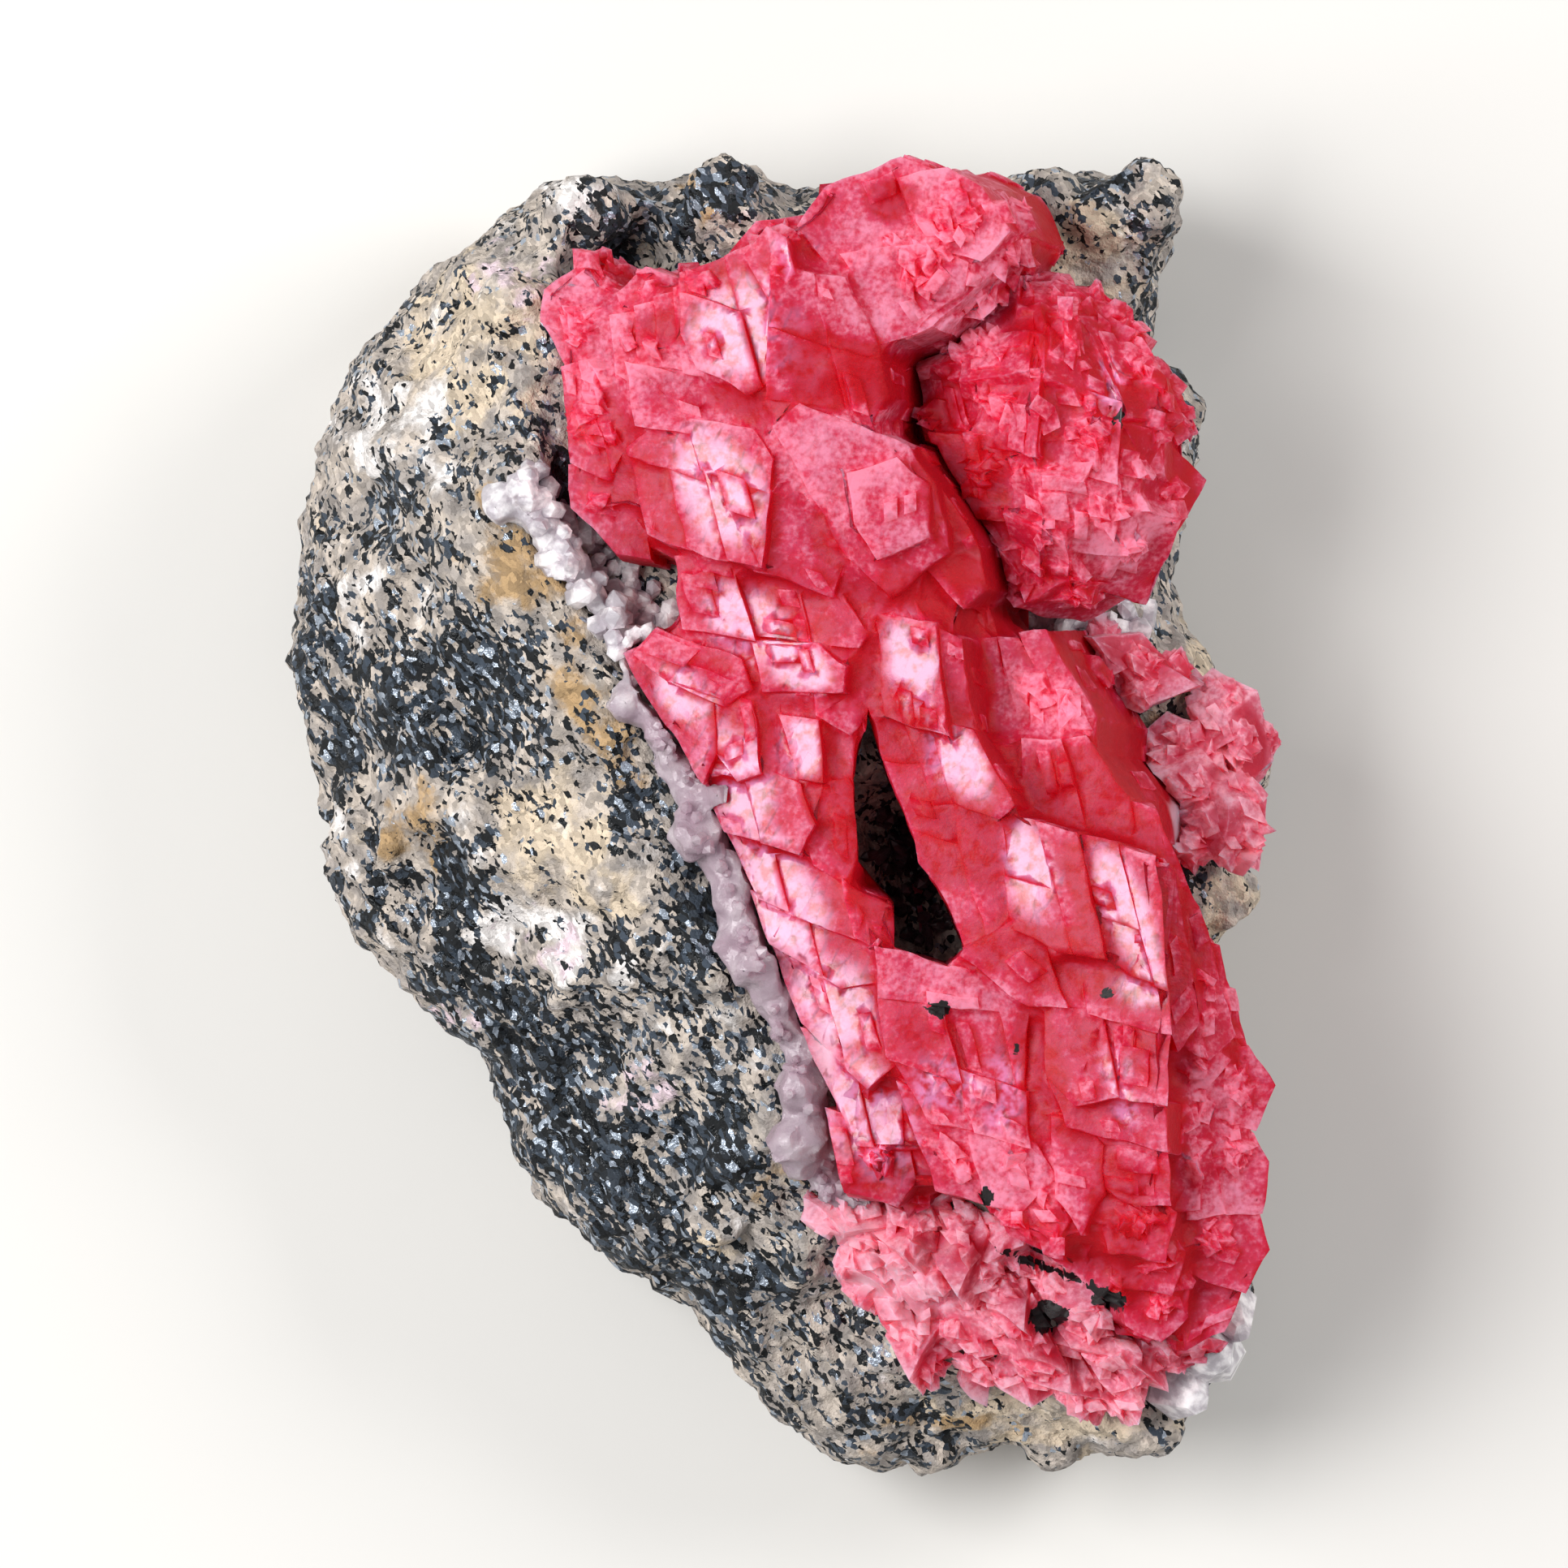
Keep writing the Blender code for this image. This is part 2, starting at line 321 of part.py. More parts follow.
def ground(x, y):
    """Height of the rock's upper face, blended from the height spots round (x, y)."""
    total = weights = 0.0
    for spot_x, spot_y, height in ALL_SPOTS:
        reach = (x - spot_x) ** 2 + (y - spot_y) ** 2 + SPOT_REACH ** 2
        weight = reach ** -SPOT_FADE
        total += weight * height
        weights += weight
    return total / weights


def foliation(x, y):
    """Relief of the thin layers that run along the lower left side."""
    across = Vector((x, y)).dot(FOLIATION_ACROSS)
    share = smooth(across, 12.0, 19.0) * smooth(-y, -16.0, 2.0)
    wave = math.sin(2.0 * math.pi * across / FOLIATION_PITCH + 2.4 * rough(x, y, 0.0, 9.0))
    return FOLIATION_RELIEF * share * wave


def outline_point(share):
    """Point of the rock's outline at a share of its length."""
    corners = [Vector(corner) for corner in ROCK_OUTLINE]
    lengths = [(corners[i] - corners[i - 1]).length for i in range(len(corners))]
    left = share * sum(lengths)
    for i, length in enumerate(lengths):
        if left <= length:
            return corners[i - 1].lerp(corners[i], left / length)
        left -= length
    return corners[-1]


def front_height(x, y, ring):
    """Upper face with its relief, rounded over to the side near the outline."""
    height = ground(x, y)
    if not inside((x, y), POCKET_AREA):
        height += sum(tall * rough(x, y, 0.0, broad, seed) for tall, broad, seed in LUMPS)
        height += foliation(x, y)
    if ring <= ROLL_OFF:
        return height
    share = (ring - ROLL_OFF) / (1.0 - ROLL_OFF)
    return SIDE_HEIGHT + (height - SIDE_HEIGHT) * math.sqrt(max(0.0, 1.0 - share ** 2.4))


def rock_rings():
    """Rings of points, from inside the upper face out and down to the underside."""
    rims = [outline_point(i / ROCK_SEGMENTS) for i in range(ROCK_SEGMENTS)]
    rings = []
    for ring in FRONT_RINGS:
        points = [ROCK_CENTRE.lerp(rim, ring) for rim in rims]
        rings.append([(p.x, p.y, front_height(p.x, p.y, ring)) for p in points])
    for inset, level in SIDE_RINGS:
        row = []
        for rim in rims:
            bulge = SIDE_BULGE * rough(rim.x, rim.y, 30.0 * level, 9.0, 4.2)
            p = ROCK_CENTRE.lerp(rim, inset + min(bulge, 1.0 - inset))
            row.append((p.x, p.y, level * SIDE_HEIGHT))
        rings.append(row)
    return rings


def loft(rings):
    """Closed mesh through rings of points, with a fan at each end."""
    bm = bmesh.new()
    rows = [[bm.verts.new(point) for point in ring] for ring in rings]
    count = len(rows[0])
    for upper, lower in zip(rows, rows[1:]):
        for i in range(count):
            j = (i + 1) % count
            bm.faces.new((upper[i], lower[i], lower[j], upper[j]))
    for row in (rows[0], rows[-1]):
        middle = bm.verts.new(sum((v.co for v in row), Vector()) / count)
        for i in range(count):
            bm.faces.new((middle, row[i], row[(i + 1) % count]))
    bmesh.ops.recalc_face_normals(bm, faces=bm.faces)
    bmesh.ops.triangulate(bm, faces=bm.faces)
    return bm


def knob(bm, x, y, z, radius, rng, grow=0.0):
    """Lumpy ball of rock."""
    ball = bmesh.ops.create_icosphere(bm, subdivisions=2, radius=radius + grow)["verts"]
    for vert in ball:
        vert.co *= rng.uniform(0.86, 1.08)
        vert.co.z *= 0.8
        vert.co += Vector((x, y, z))


def build_rock():
    """Lofted rock with knobs fused on, its back sawn flat at z = 0."""
    bm = loft(rock_rings())
    rock = solid("matrix_rock", bm)
    thin = rock.modifiers.new("thin", "DECIMATE")
    thin.ratio = ROCK_DETAIL
    apply_modifiers(rock)
    rng = random.Random(11)
    knobs = bmesh.new()
    for x, y, z, radius in KNOBS:
        knob(knobs, x, y, z, radius, rng)
    boolean(rock, solid("knobs", knobs), "UNION", True)
    bm = bmesh.new()
    bm.from_mesh(rock.data)
    everything = bm.verts[:] + bm.edges[:] + bm.faces[:]
    bmesh.ops.bisect_plane(bm, geom=everything, plane_co=(0, 0, 0), plane_no=(0, 0, 1),
                           clear_inner=True)
    rim = [edge for edge in bm.edges if edge.is_boundary]
    bmesh.ops.holes_fill(bm, edges=rim)
    bm.to_mesh(rock.data)
    bm.free()
    keep_main_shell(rock)
    return rock


# ------------------------------------------------------------------ solids and cuts
def solid(name, bm):
    """Object holding a finished bmesh."""
    mesh = bpy.data.meshes.new(name)
    bm.to_mesh(mesh)
    bm.free()
    thing = bpy.data.objects.new(name, mesh)
    bpy.context.scene.collection.objects.link(thing)
    return thing


def apply_modifiers(thing):
    """Replace an object's mesh with its evaluated mesh."""
    bpy.context.view_layer.update()
    evaluated = thing.evaluated_get(bpy.context.evaluated_depsgraph_get())
    mesh = bpy.data.meshes.new_from_object(evaluated)
    thing.modifiers.clear()
    thing.data = mesh


def boolean(target, tool, operation, overlapping=False):
    """Exact boolean with a tool object that is then removed."""
    cut = target.modifiers.new(operation.lower(), "BOOLEAN")
    cut.operation = operation
    cut.object = tool
    cut.use_self = overlapping
    apply_modifiers(target)
    bpy.data.objects.remove(tool, do_unlink=True)


def keep_main_shell(thing):
    """Drop sealed cavities and loose crumbs, and merge level faces where that stays closed."""
    bm = bmesh.new()
    bm.from_mesh(thing.data)
    left = set(bm.faces)
    shells = []
    while left:
        shell = {left.pop()}
        edge_of = list(shell)
        while edge_of:
            face = edge_of.pop()
            for edge in face.edges:
                for other in edge.link_faces:
                    if other in left:
                        left.discard(other)
                        shell.add(other)
                        edge_of.append(other)
        shells.append(shell)
    shells.sort(key=lambda faces: sum(face.calc_area() for face in faces))
    crumbs = [face for shell in shells[:-1] for face in shell]
    bmesh.ops.delete(bm, geom=crumbs, context="FACES")
    thinned = bm.copy()
    bmesh.ops.dissolve_limit(thinned, angle_limit=FLAT_ANGLE, verts=thinned.verts,
                             edges=thinned.edges)
    for candidate in (thinned, bm):
        bmesh.ops.triangulate(candidate, faces=candidate.faces)
        bmesh.ops.recalc_face_normals(candidate, faces=candidate.faces)
        if all(edge.is_manifold for edge in candidate.edges):
            break
    candidate.to_mesh(thing.data)
    thinned.free()
    bm.free()


def grown_copy(rock):
    """The rock, larger by the gap all round."""
    copy = bpy.data.objects.new("grown_rock", rock.data.copy())
    bpy.context.scene.collection.objects.link(copy)
    swell = copy.modifiers.new("swell", "DISPLACE")
    swell.mid_level = 0.0
    swell.strength = 1.2 * GAP
    apply_modifiers(copy)
    return copy


def fused(name, crystals):
    """One solid from overlapping crystals, each drawn by draw(bmesh, grow), joined in turn."""
    thing = None
    for draw in crystals:
        one = bmesh.new()
        draw(one, 0.0)
        crystal = solid(name, one)
        if thing is None:
            thing = crystal
        else:
            boolean(thing, crystal, "UNION")
    keep_main_shell(thing)
    return thing


def bounds_of(bm):
    """Lowest and highest corner of a bmesh."""
    spots = [vert.co for vert in bm.verts]
    return [[pick(spot[i] for spot in spots) for i in range(3)] for pick in (min, max)]


def clear_of(thing, crystals):
    """Cut a solid back by the gap from the crystals of an earlier group that come near it."""
    own = bmesh.new()
    own.from_mesh(thing.data)
    low, high = bounds_of(own)
    own.free()
    near = bmesh.new()
    for draw in crystals:
        one = bmesh.new()
        draw(one, GAP)
        start, end = bounds_of(one)
        if all(start[i] < high[i] and end[i] > low[i] for i in range(3)):
            draw(near, GAP)
        one.free()
    if near.verts:
        boolean(thing, solid("clearance", near), "DIFFERENCE", True)


# ------------------------------------------------------------------ crystal shapes
def rhomb(centre, sides, directions, turn=None):
    """Rhombohedral crystal whose front face is centred on `centre`."""
    down, right, inward = directions
    if turn is not None:
        down, right, inward = turn @ down, turn @ right, turn @ inward
    length, width, depth = sides

    def draw(bm, grow):
        margin = 2.6 * grow
        columns = (down * (length + margin), right * (width + margin),
                   inward * (depth + margin))
        middle = Vector(centre) + inward * depth / 2.0
        frame = Matrix(columns).transposed().to_4x4()
        frame.translation = middle
        bmesh.ops.create_cube(bm, size=1.0, matrix=frame)
        bmesh.ops.recalc_face_normals(bm, faces=bm.faces)
    return draw


def quartz_point(root, direction, radius, length, rng):
    """Six-sided quartz crystal with a blunt tip."""
    turn = Vector((0, 0, 1)).rotation_difference(direction).to_matrix().to_4x4()
    spin = Matrix.Rotation(rng.uniform(0.0, math.tau), 4, "Z")
    tip = rng.uniform(0.2, 0.45)
    lean = Vector((rng.uniform(-0.3, 0.3), rng.uniform(-0.3, 0.3), 0.0)) * radius

    def draw(bm, grow):
        rings = ((-grow, 0.85, 0.0), (0.66 * length, 1.0, 0.0), (length + grow, tip, 1.0))
        rows = []
        for height, share, slide in rings:
            wide = radius * share + 1.2 * grow
            row = []
            for corner in range(6):
                angle = corner * math.tau / 6.0
                spot = Vector((wide * math.cos(angle), wide * math.sin(angle), height))
                place = turn @ spin @ (spot + lean * slide)
                row.append(bm.verts.new(place + Vector(root)))
            rows.append(row)
        for lower, upper in zip(rows, rows[1:]):
            for i in range(6):
                j = (i + 1) % 6
                bm.faces.new((lower[i], lower[j], upper[j], upper[i]))
        bm.faces.new(rows[0][::-1])
        bm.faces.new(rows[-1])
    return draw


def quartz_band(path, radius, lift):
    """Massive quartz along a path over the rock, six-sided in section."""
    rng = random.Random(36)
    spine = [Vector((x + rng.uniform(-0.4, 0.4), y, ground(x, y) + lift)) for x, y in path]
    widths = [radius * rng.uniform(0.75, 1.3) for _ in path]

    def draw(bm, grow):
        rows = []
        for i, spot in enumerate(spine):
            along = (spine[min(i + 1, len(spine) - 1)] - spine[max(i - 1, 0)]).normalized()
            side = along.cross(Vector((0, 0, 1))).normalized()
            up = side.cross(along)
            end = {0: -grow, len(spine) - 1: grow}.get(i, 0.0)
            corners = [k * math.tau / 6.0 for k in range(6)]
            wide = widths[i] + 1.2 * grow
            rows.append([bm.verts.new(spot + along * end + (side * math.cos(k)
                                      + up * math.sin(k)) * wide) for k in corners])
        for lower, upper in zip(rows, rows[1:]):
            for i in range(6):
                j = (i + 1) % 6
                bm.faces.new((lower[i], lower[j], upper[j], upper[i]))
        bm.faces.new(rows[0][::-1])
        bm.faces.new(rows[-1])
        bmesh.ops.recalc_face_normals(bm, faces=bm.faces)
    return draw


def inside(point, area):
    """True where a point lies in a polygon."""
    x, y = point
    hit = False
    for (x1, y1), (x2, y2) in zip(area, area[1:] + area[:1]):
        if (y1 > y) != (y2 > y) and x < (x2 - x1) * (y - y1) / (y2 - y1) + x1:
            hit = not hit
    return hit


def scatter(area, pitch, rng):
    """Jittered grid of points inside a polygon."""
    xs = [corner[0] for corner in area]
    ys = [corner[1] for corner in area]
    points = []
    rows = int((max(ys) - min(ys)) / pitch) + 2
    columns = int((max(xs) - min(xs)) / pitch) + 2
    for row in range(rows):
        for column in range(columns):
            x = min(xs) + pitch * (column + 0.5 * (row % 2) + rng.uniform(-0.25, 0.25))
            y = min(ys) + pitch * (row + rng.uniform(-0.25, 0.25))
            if inside((x, y), area):
                points.append((x, y))
    return points


# ------------------------------------------------------------------ crystal groups
def middle_of(outline):
    """Mean of an outline's corners."""
    return sum((Vector(corner) for corner in outline), Vector((0.0, 0.0))) / len(outline)


def area_of(outline):
    """Area inside an outline."""
    pairs = zip(outline, outline[1:] + outline[:1])
    return abs(sum(x1 * y2 - x2 * y1 for (x1, y1), (x2, y2) in pairs)) / 2.0


def parted(outline, direction, rng):
    """The two parts of an outline on either side of a line that runs along a direction."""
    across = Vector((direction.y, -direction.x)).normalized()
    reaches = [Vector(corner).dot(across) for corner in outline]
    line = min(reaches) + (max(reaches) - min(reaches)) * rng.uniform(*STEP_SHARE)
    parts = ([], [])
    for i, corner in enumerate(outline):
        before = Vector(outline[i - 1])
        here = Vector(corner)
        gone, now = before.dot(across) - line, here.dot(across) - line
        if gone * now < 0.0:
            crossing = tuple(before.lerp(here, gone / (gone - now)))
            parts[0].append(crossing)
            parts[1].append(crossing)
        parts[int(now > 0.0)].append(tuple(here))
    return parts


def steps_of(outline, rng):
    """An outline parted along the lattice edges until its parts are small."""
    whole = [outline]
    for direction in (EDGE_DOWN, EDGE_RIGHT, EDGE_DOWN):
        smaller = []
        for part in whole:
            smaller += parted(part, direction, rng) if area_of(part) > STEP_AREA else [part]
        whole = smaller
    return whole


def faced_crystal(level, outline, rng):
    """Crystal with a flat upper face of the given outline, rooted in the rock."""
    outline = [(x + rng.uniform(-STRAY, STRAY), y + rng.uniform(-STRAY, STRAY))
               for x, y in outline]
    middle = middle_of(outline)
    run_in = EDGE_RUN_IN if middle.x > EDGE_START else RUN_IN
    run_in = run_in + Vector((rng.uniform(-RUN_STRAY, RUN_STRAY),
                              rng.uniform(-RUN_STRAY, RUN_STRAY), 0.0))
    root = level(middle) - ground(*middle) + ROOT_DEPTH

    def draw(bm, grow):
        corners = []
        for out, down in ((0.0, -grow), (FLARE, root + grow)):
            for corner in outline:
                away = Vector(corner) - middle
                flat = Vector(corner) + away.normalized() * (out + OVERLAP + 1.3 * grow)
                corners.append(bm.verts.new(Vector((*flat, level(flat))) + run_in * down))
        hull = bmesh.ops.convex_hull(bm, input=corners, use_existing_faces=False)
        bmesh.ops.delete(bm, geom=hull["geom_interior"], context="VERTS")
        faces = [item for item in hull["geom"] if isinstance(item, bmesh.types.BMFace)]
        bmesh.ops.recalc_face_normals(bm, faces=faces)
    return draw


def cluster_crystals():
    """Main crystals, their larger faces parted into growth steps."""
    rng = random.Random(8)
    crystals = []
    for group, rows in CLUSTER.items():
        for height, rise_x, rise_y, outline in rows:
            middle = middle_of(outline)
            parts = [outline] if group in WHOLE_GROUPS else steps_of(outline, rng)
            for part in parts:
                rises = Vector((rise_x + rng.uniform(-STEP_TILT, STEP_TILT),
                                rise_y + rng.uniform(-STEP_TILT, STEP_TILT)))
                step = height + rng.uniform(-STEP_RISE, STEP_RISE) * (len(parts) > 1)

                def level(spot, step=step, rises=rises, middle=middle):
                    return step + (spot - middle).dot(rises)
                crystals.append(faced_crystal(level, part, rng))
    return crystals


def dome_crystals():
    """Crystals fanned over an ellipsoid, with a solid heart."""
    rng = random.Random(8)
    centre = Vector(DOME_CENTRE)
    spin = Matrix.Rotation(DOME_TURN, 3, "Z")

    def heart(bm, grow):
        ball = bmesh.ops.create_icosphere(bm, subdivisions=2, radius=1.0)["verts"]
        for vert in ball:
            scaled = Vector((vert.co[i] * (DOME_HEART * DOME_RADII[i] + grow)
                             for i in range(3)))
            vert.co = spin @ scaled + centre
    crystals = [heart]
    for i in range(DOME_CRYSTALS):
        height = 1.0 - 1.05 * (i + 0.5) / DOME_CRYSTALS
        angle = i * math.pi * (3.0 - math.sqrt(5.0))
        flat = math.sqrt(max(0.0, 1.0 - height * height))
        out = Vector((flat * math.cos(angle), flat * math.sin(angle), height))
        place = spin @ Vector((out[k] * DOME_RADII[k] for k in range(3))) + centre
        out = (spin @ out).normalized()
        down = (Vector((0.2, -1.0, 0.1)) - out * out.dot(Vector((0.2, -1.0, 0.1)))).normalized()
        right = down.cross(out).normalized()
        skewed = (down, (right - 0.25 * down).normalized(), (-out + 0.35 * right).normalized())
        turn = Matrix.Rotation(rng.uniform(-0.45, 0.45), 3, out)
        turn = turn @ Matrix.Rotation(rng.uniform(-0.35, 0.35), 3, down)
        sides = [side * rng.uniform(0.75, 1.2) for side in DOME_CRYSTAL]
        crystals.append(rhomb(place, sides, skewed, turn))
    return crystals


def crust_crystals(area, pitch, sides, rise, seed):
    """Small crystals in all directions over an area of the rock."""
    rng = random.Random(seed)
    lattice = (EDGE_DOWN, EDGE_RIGHT, EDGE_IN)
    crystals = []
    for x, y in scatter(area, pitch, rng):
        turn = (Matrix.Rotation(rng.uniform(-0.9, 0.9), 3, "Z")
                @ Matrix.Rotation(rng.uniform(-0.5, 0.9), 3, "Y")
                @ Matrix.Rotation(rng.uniform(-0.6, 0.6), 3, "X"))
        size = [side * rng.uniform(0.85, 1.3) for side in sides]
        place = (x, y, ground(x, y) + rise + rng.uniform(-0.4, 0.9))
        crystals.append(rhomb(place, size, lattice, turn))
    return crystals


def druse_crystals(places, point, sink, seed):
    """Quartz crystals standing on the rock at the given places."""
    rng = random.Random(seed)
    radius, length = point
    crystals = []
    for x, y in places:
        direction = Vector((rng.uniform(-0.5, 0.5), rng.uniform(-0.5, 0.5), 1.0)).normalized()
        size = rng.uniform(0.85, 1.2)
        root = (x, y, ground(x, y) - sink)
        crystals.append(quartz_point(root, direction, radius * size, length * size, rng))
    return crystals


def vein_places():
    """Places of the vein wall's crystals along its path, and over its wider druse."""
    places = []
    left = 0.0
    for start, end in zip(VEIN_PATH, VEIN_PATH[1:]):
        start, end = Vector(start), Vector(end)
        length = (end - start).length
        while left <= length:
            places.append(tuple(start.lerp(end, left / length)))
            left += VEIN_STEP
        left -= length
    return places + scatter(VEIN_DRUSE, DRUSE_PITCH, random.Random(31))


def corner_crystals():
    """Stubby white quartz at the lower right corner."""
    rng = random.Random(41)
    crystals = []
    for x, y, z, radius, length in CORNER_BLOCKS:
        direction = Vector((0.45, -0.25, 1.0)).normalized()
        root = Vector((x, y, z)) - direction * length * 0.8
        crystals.append(quartz_point(root, direction, radius, length, rng))
    return crystals


# ------------------------------------------------------------------ assembly
def finish(thing, node):
    """Name, material and metres."""
    colour, roughness = FINISHES[node]
    thing.name = node
    thing.data.name = node
    thing.data.transform(Matrix.Scale(MM, 4))
    material = bpy.data.materials.new(node)
    material.use_nodes = True
    shader = material.node_tree.nodes["Principled BSDF"]
    shader.inputs["Base Color"].default_value = (*colour, 1.0)
    shader.inputs["Roughness"].default_value = roughness
    shader.inputs["Metallic"].default_value = 0.0
    thing.data.materials.clear()
    thing.data.materials.append(material)
    for face in thing.data.polygons:
        face.material_index = 0


def centre_footprint(things):
    """Slide everything so that the origin is under the middle of the whole."""
    corners = [vert.co for thing in things for vert in thing.data.vertices]
    low = Vector((min(c[i] for c in corners) for i in range(3)))
    high = Vector((max(c[i] for c in corners) for i in range(3)))
    middle = (low + high) / 2.0
    for thing in things:
        thing.data.transform(Matrix.Translation((-middle.x, -middle.y, -low.z)))


def main():
    """Rock first, then the crystals, each group cut clear of the rock and the earlier ones."""
    clear_scene()
    hollow_rng = random.Random(51)
    right_rng = random.Random(61)
    groups = {
        "rhodochrosite_cluster": cluster_crystals(),
        "rhodochrosite_dome": dome_crystals(),
        "rhodochrosite_crust": crust_crystals(CRUST_AREA, CRUST_PITCH, CRUST_CRYSTAL, 1.6, 21),
        "rhodochrosite_upper_patch": crust_crystals(UPPER_PATCH, PATCH_PITCH, PATCH_CRYSTAL,
                                                    2.2, 22),
        "rhodochrosite_lower_patch": crust_crystals(LOWER_PATCH, PATCH_PITCH, PATCH_CRYSTAL,
                                                    2.6, 23),
        "quartz_corner": corner_crystals(),
        "quartz_vein": [quartz_band(VEIN_PATH, VEIN_BAND, VEIN_LIFT),
                        *druse_crystals(vein_places(), VEIN_POINT, 2.6, 32)],
        "quartz_druse": druse_crystals(scatter(RIGHT_DRUSE, DRUSE_PITCH, right_rng),
                                       DRUSE_POINT, 2.6, 33),
        "hollow_druse": druse_crystals(scatter(HOLLOW_DRUSE, HOLLOW_PITCH, hollow_rng),
                                       HOLLOW_POINT, 1.6, 34)}
    rock = build_rock()
    things = [rock]
    done = []
    for node, crystals in groups.items():
        thing = fused(node, crystals)
        boolean(thing, grown_copy(rock), "DIFFERENCE", True)
        for earlier in done:
            clear_of(thing, groups[earlier])
        keep_main_shell(thing)
        things.append(thing)
        done.append(node)
    for thing, node in zip(things, ["matrix_rock", *done]):
        finish(thing, node)
    centre_footprint(things)


main()
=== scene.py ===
"""Rhodochrosite specimen: stepped red crystals and milky quartz in a pocket of banded matrix rock, lying on its sawn back."""

import math
import random

import bmesh
import bpy
import numpy as np
from mathutils import Euler, Matrix, Vector, noise
from mathutils.bvhtree import BVHTree


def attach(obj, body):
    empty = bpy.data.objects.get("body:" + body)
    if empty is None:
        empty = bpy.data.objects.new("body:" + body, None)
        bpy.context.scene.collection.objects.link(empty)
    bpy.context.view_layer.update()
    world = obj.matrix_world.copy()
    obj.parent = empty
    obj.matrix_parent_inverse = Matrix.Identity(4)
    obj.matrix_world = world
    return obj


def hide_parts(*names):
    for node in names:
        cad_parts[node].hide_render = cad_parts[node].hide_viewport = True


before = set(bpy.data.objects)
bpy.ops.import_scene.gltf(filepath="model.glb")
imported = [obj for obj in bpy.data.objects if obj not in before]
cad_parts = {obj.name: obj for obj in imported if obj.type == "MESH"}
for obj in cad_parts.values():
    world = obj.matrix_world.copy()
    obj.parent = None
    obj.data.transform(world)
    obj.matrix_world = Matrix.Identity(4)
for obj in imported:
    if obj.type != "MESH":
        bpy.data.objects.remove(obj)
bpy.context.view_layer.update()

MM = 0.001


def linear(code):
    """An sRGB hex colour as linear red, green, blue and alpha."""
    parts = [int(code[i : i + 2], 16) / 255 for i in (1, 3, 5)]
    return tuple(c / 12.92 if c <= 0.04045 else ((c + 0.055) / 1.055) ** 2.4 for c in parts) + (1.0,)


# ---------------------------------------------------------------- shader building


class Finish:
    """A material with one Principled surface and short calls that add a linked node."""

    def __init__(self, name):
        self.material = bpy.data.materials.new(name)
        self.material.use_nodes = True
        self.nodes = self.material.node_tree.nodes
        self.links = self.material.node_tree.links
        self.surface = self.nodes["Principled BSDF"]
        self.surface.subsurface_method = "BURLEY"

    def add(self, kind, settings=None, output=0, **inputs):
        """Adds a node, sets its properties, fills or links its sockets (i1 is socket 1) and gives one output."""
        node = self.nodes.new("ShaderNode" + kind)
        for key, value in (settings or {}).items():
            setattr(node, key, value)
        for key, value in inputs.items():
            where = int(key[1:]) if key[0] == "i" and key[1:].isdigit() else key.replace("_", " ")
            self.fill(node.inputs[where], value)
        return node.outputs[output]

    def fill(self, socket, value):
        if isinstance(value, bpy.types.NodeSocket):
            self.links.new(value, socket)
        else:
            socket.default_value = value

    def set(self, **inputs):
        """Fills the Principled surface's sockets."""
        for key, value in inputs.items():
            self.fill(self.surface.inputs[key.replace("_", " ")], value)

    def maths(self, operation, a, b=0.0, c=0.0):
        return self.add("Math", {"operation": operation}, i0=a, i1=b, i2=c)

    def ramp(self, value, low, high):
        """0 below low, 1 above high, smooth between."""
        settings = {"interpolation_type": "SMOOTHSTEP"}
        return self.add("MapRange", settings, Value=value, From_Min=low, From_Max=high)

    def mix(self, factor, a, b):
        """Colour a where factor is 0, colour b where it is 1."""
        node = self.nodes.new("ShaderNodeMix")
        node.data_type = "RGBA"
        for index, value in ((0, factor), (6, a), (7, b)):
            self.fill(node.inputs[index], value)
        return node.outputs[2]

    def attribute(self, name):
        node = self.nodes.new("ShaderNodeAttribute")
        node.attribute_name = name
        return node.outputs["Fac"]

    def place(self):
        """The point on the object in metres."""
        return self.nodes.new("ShaderNodeTexCoord").outputs["Object"]

    def cloud(self, size_mm, detail=3.0, where=None, roughness=0.55):
        """Noise from 0 to 1 whose features are about size_mm across."""
        return self.add("TexNoise", None, Vector=where or self.place(), Scale=1 / (size_mm * MM),
                        Detail=detail, Roughness=roughness)

    def cells(self, size_mm, feature, output, where=None, distance="EUCLIDEAN", shuffle=1.0):
        """Cells about size_mm across: their distance, edge distance or random colour."""
        node = self.nodes.new("ShaderNodeTexVoronoi")
        node.feature = feature
        if feature != "DISTANCE_TO_EDGE":
            node.distance = distance
        self.fill(node.inputs["Vector"], where or self.place())
        node.inputs["Scale"].default_value = 1 / (size_mm * MM)
        node.inputs["Randomness"].default_value = shuffle
        return node.outputs[output]

    def relief(self, *layers):
        """Stacks bump layers given as (height, depth in mm) into one normal."""
        normal = None
        for height, depth in layers:
            inputs = {"Height": height, "Distance": depth * MM, "Strength": 1.0}
            if normal is not None:
                inputs["Normal"] = normal
            normal = self.add("Bump", None, **inputs)
        return normal


# ---------------------------------------------------------------- mesh helpers


def own_copy(node_name, piece_name):
    """A welded copy of a CAD node that can be worked into finer detail."""
    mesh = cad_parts[node_name].data.copy()
    piece = bpy.data.objects.new(piece_name, mesh)
    bpy.context.scene.collection.objects.link(piece)
    body = bmesh.new()
    body.from_mesh(mesh)
    bmesh.ops.remove_doubles(body, verts=body.verts, dist=1e-7)
    body.to_mesh(mesh)
    body.free()
    mesh.materials.clear()
    return piece


def settle(piece):
    """Replaces the piece's mesh with what its modifiers make of it."""
    graph = bpy.context.evaluated_depsgraph_get()
    mesh = bpy.data.meshes.new_from_object(piece.evaluated_get(graph))
    piece.modifiers.clear()
    piece.data = mesh


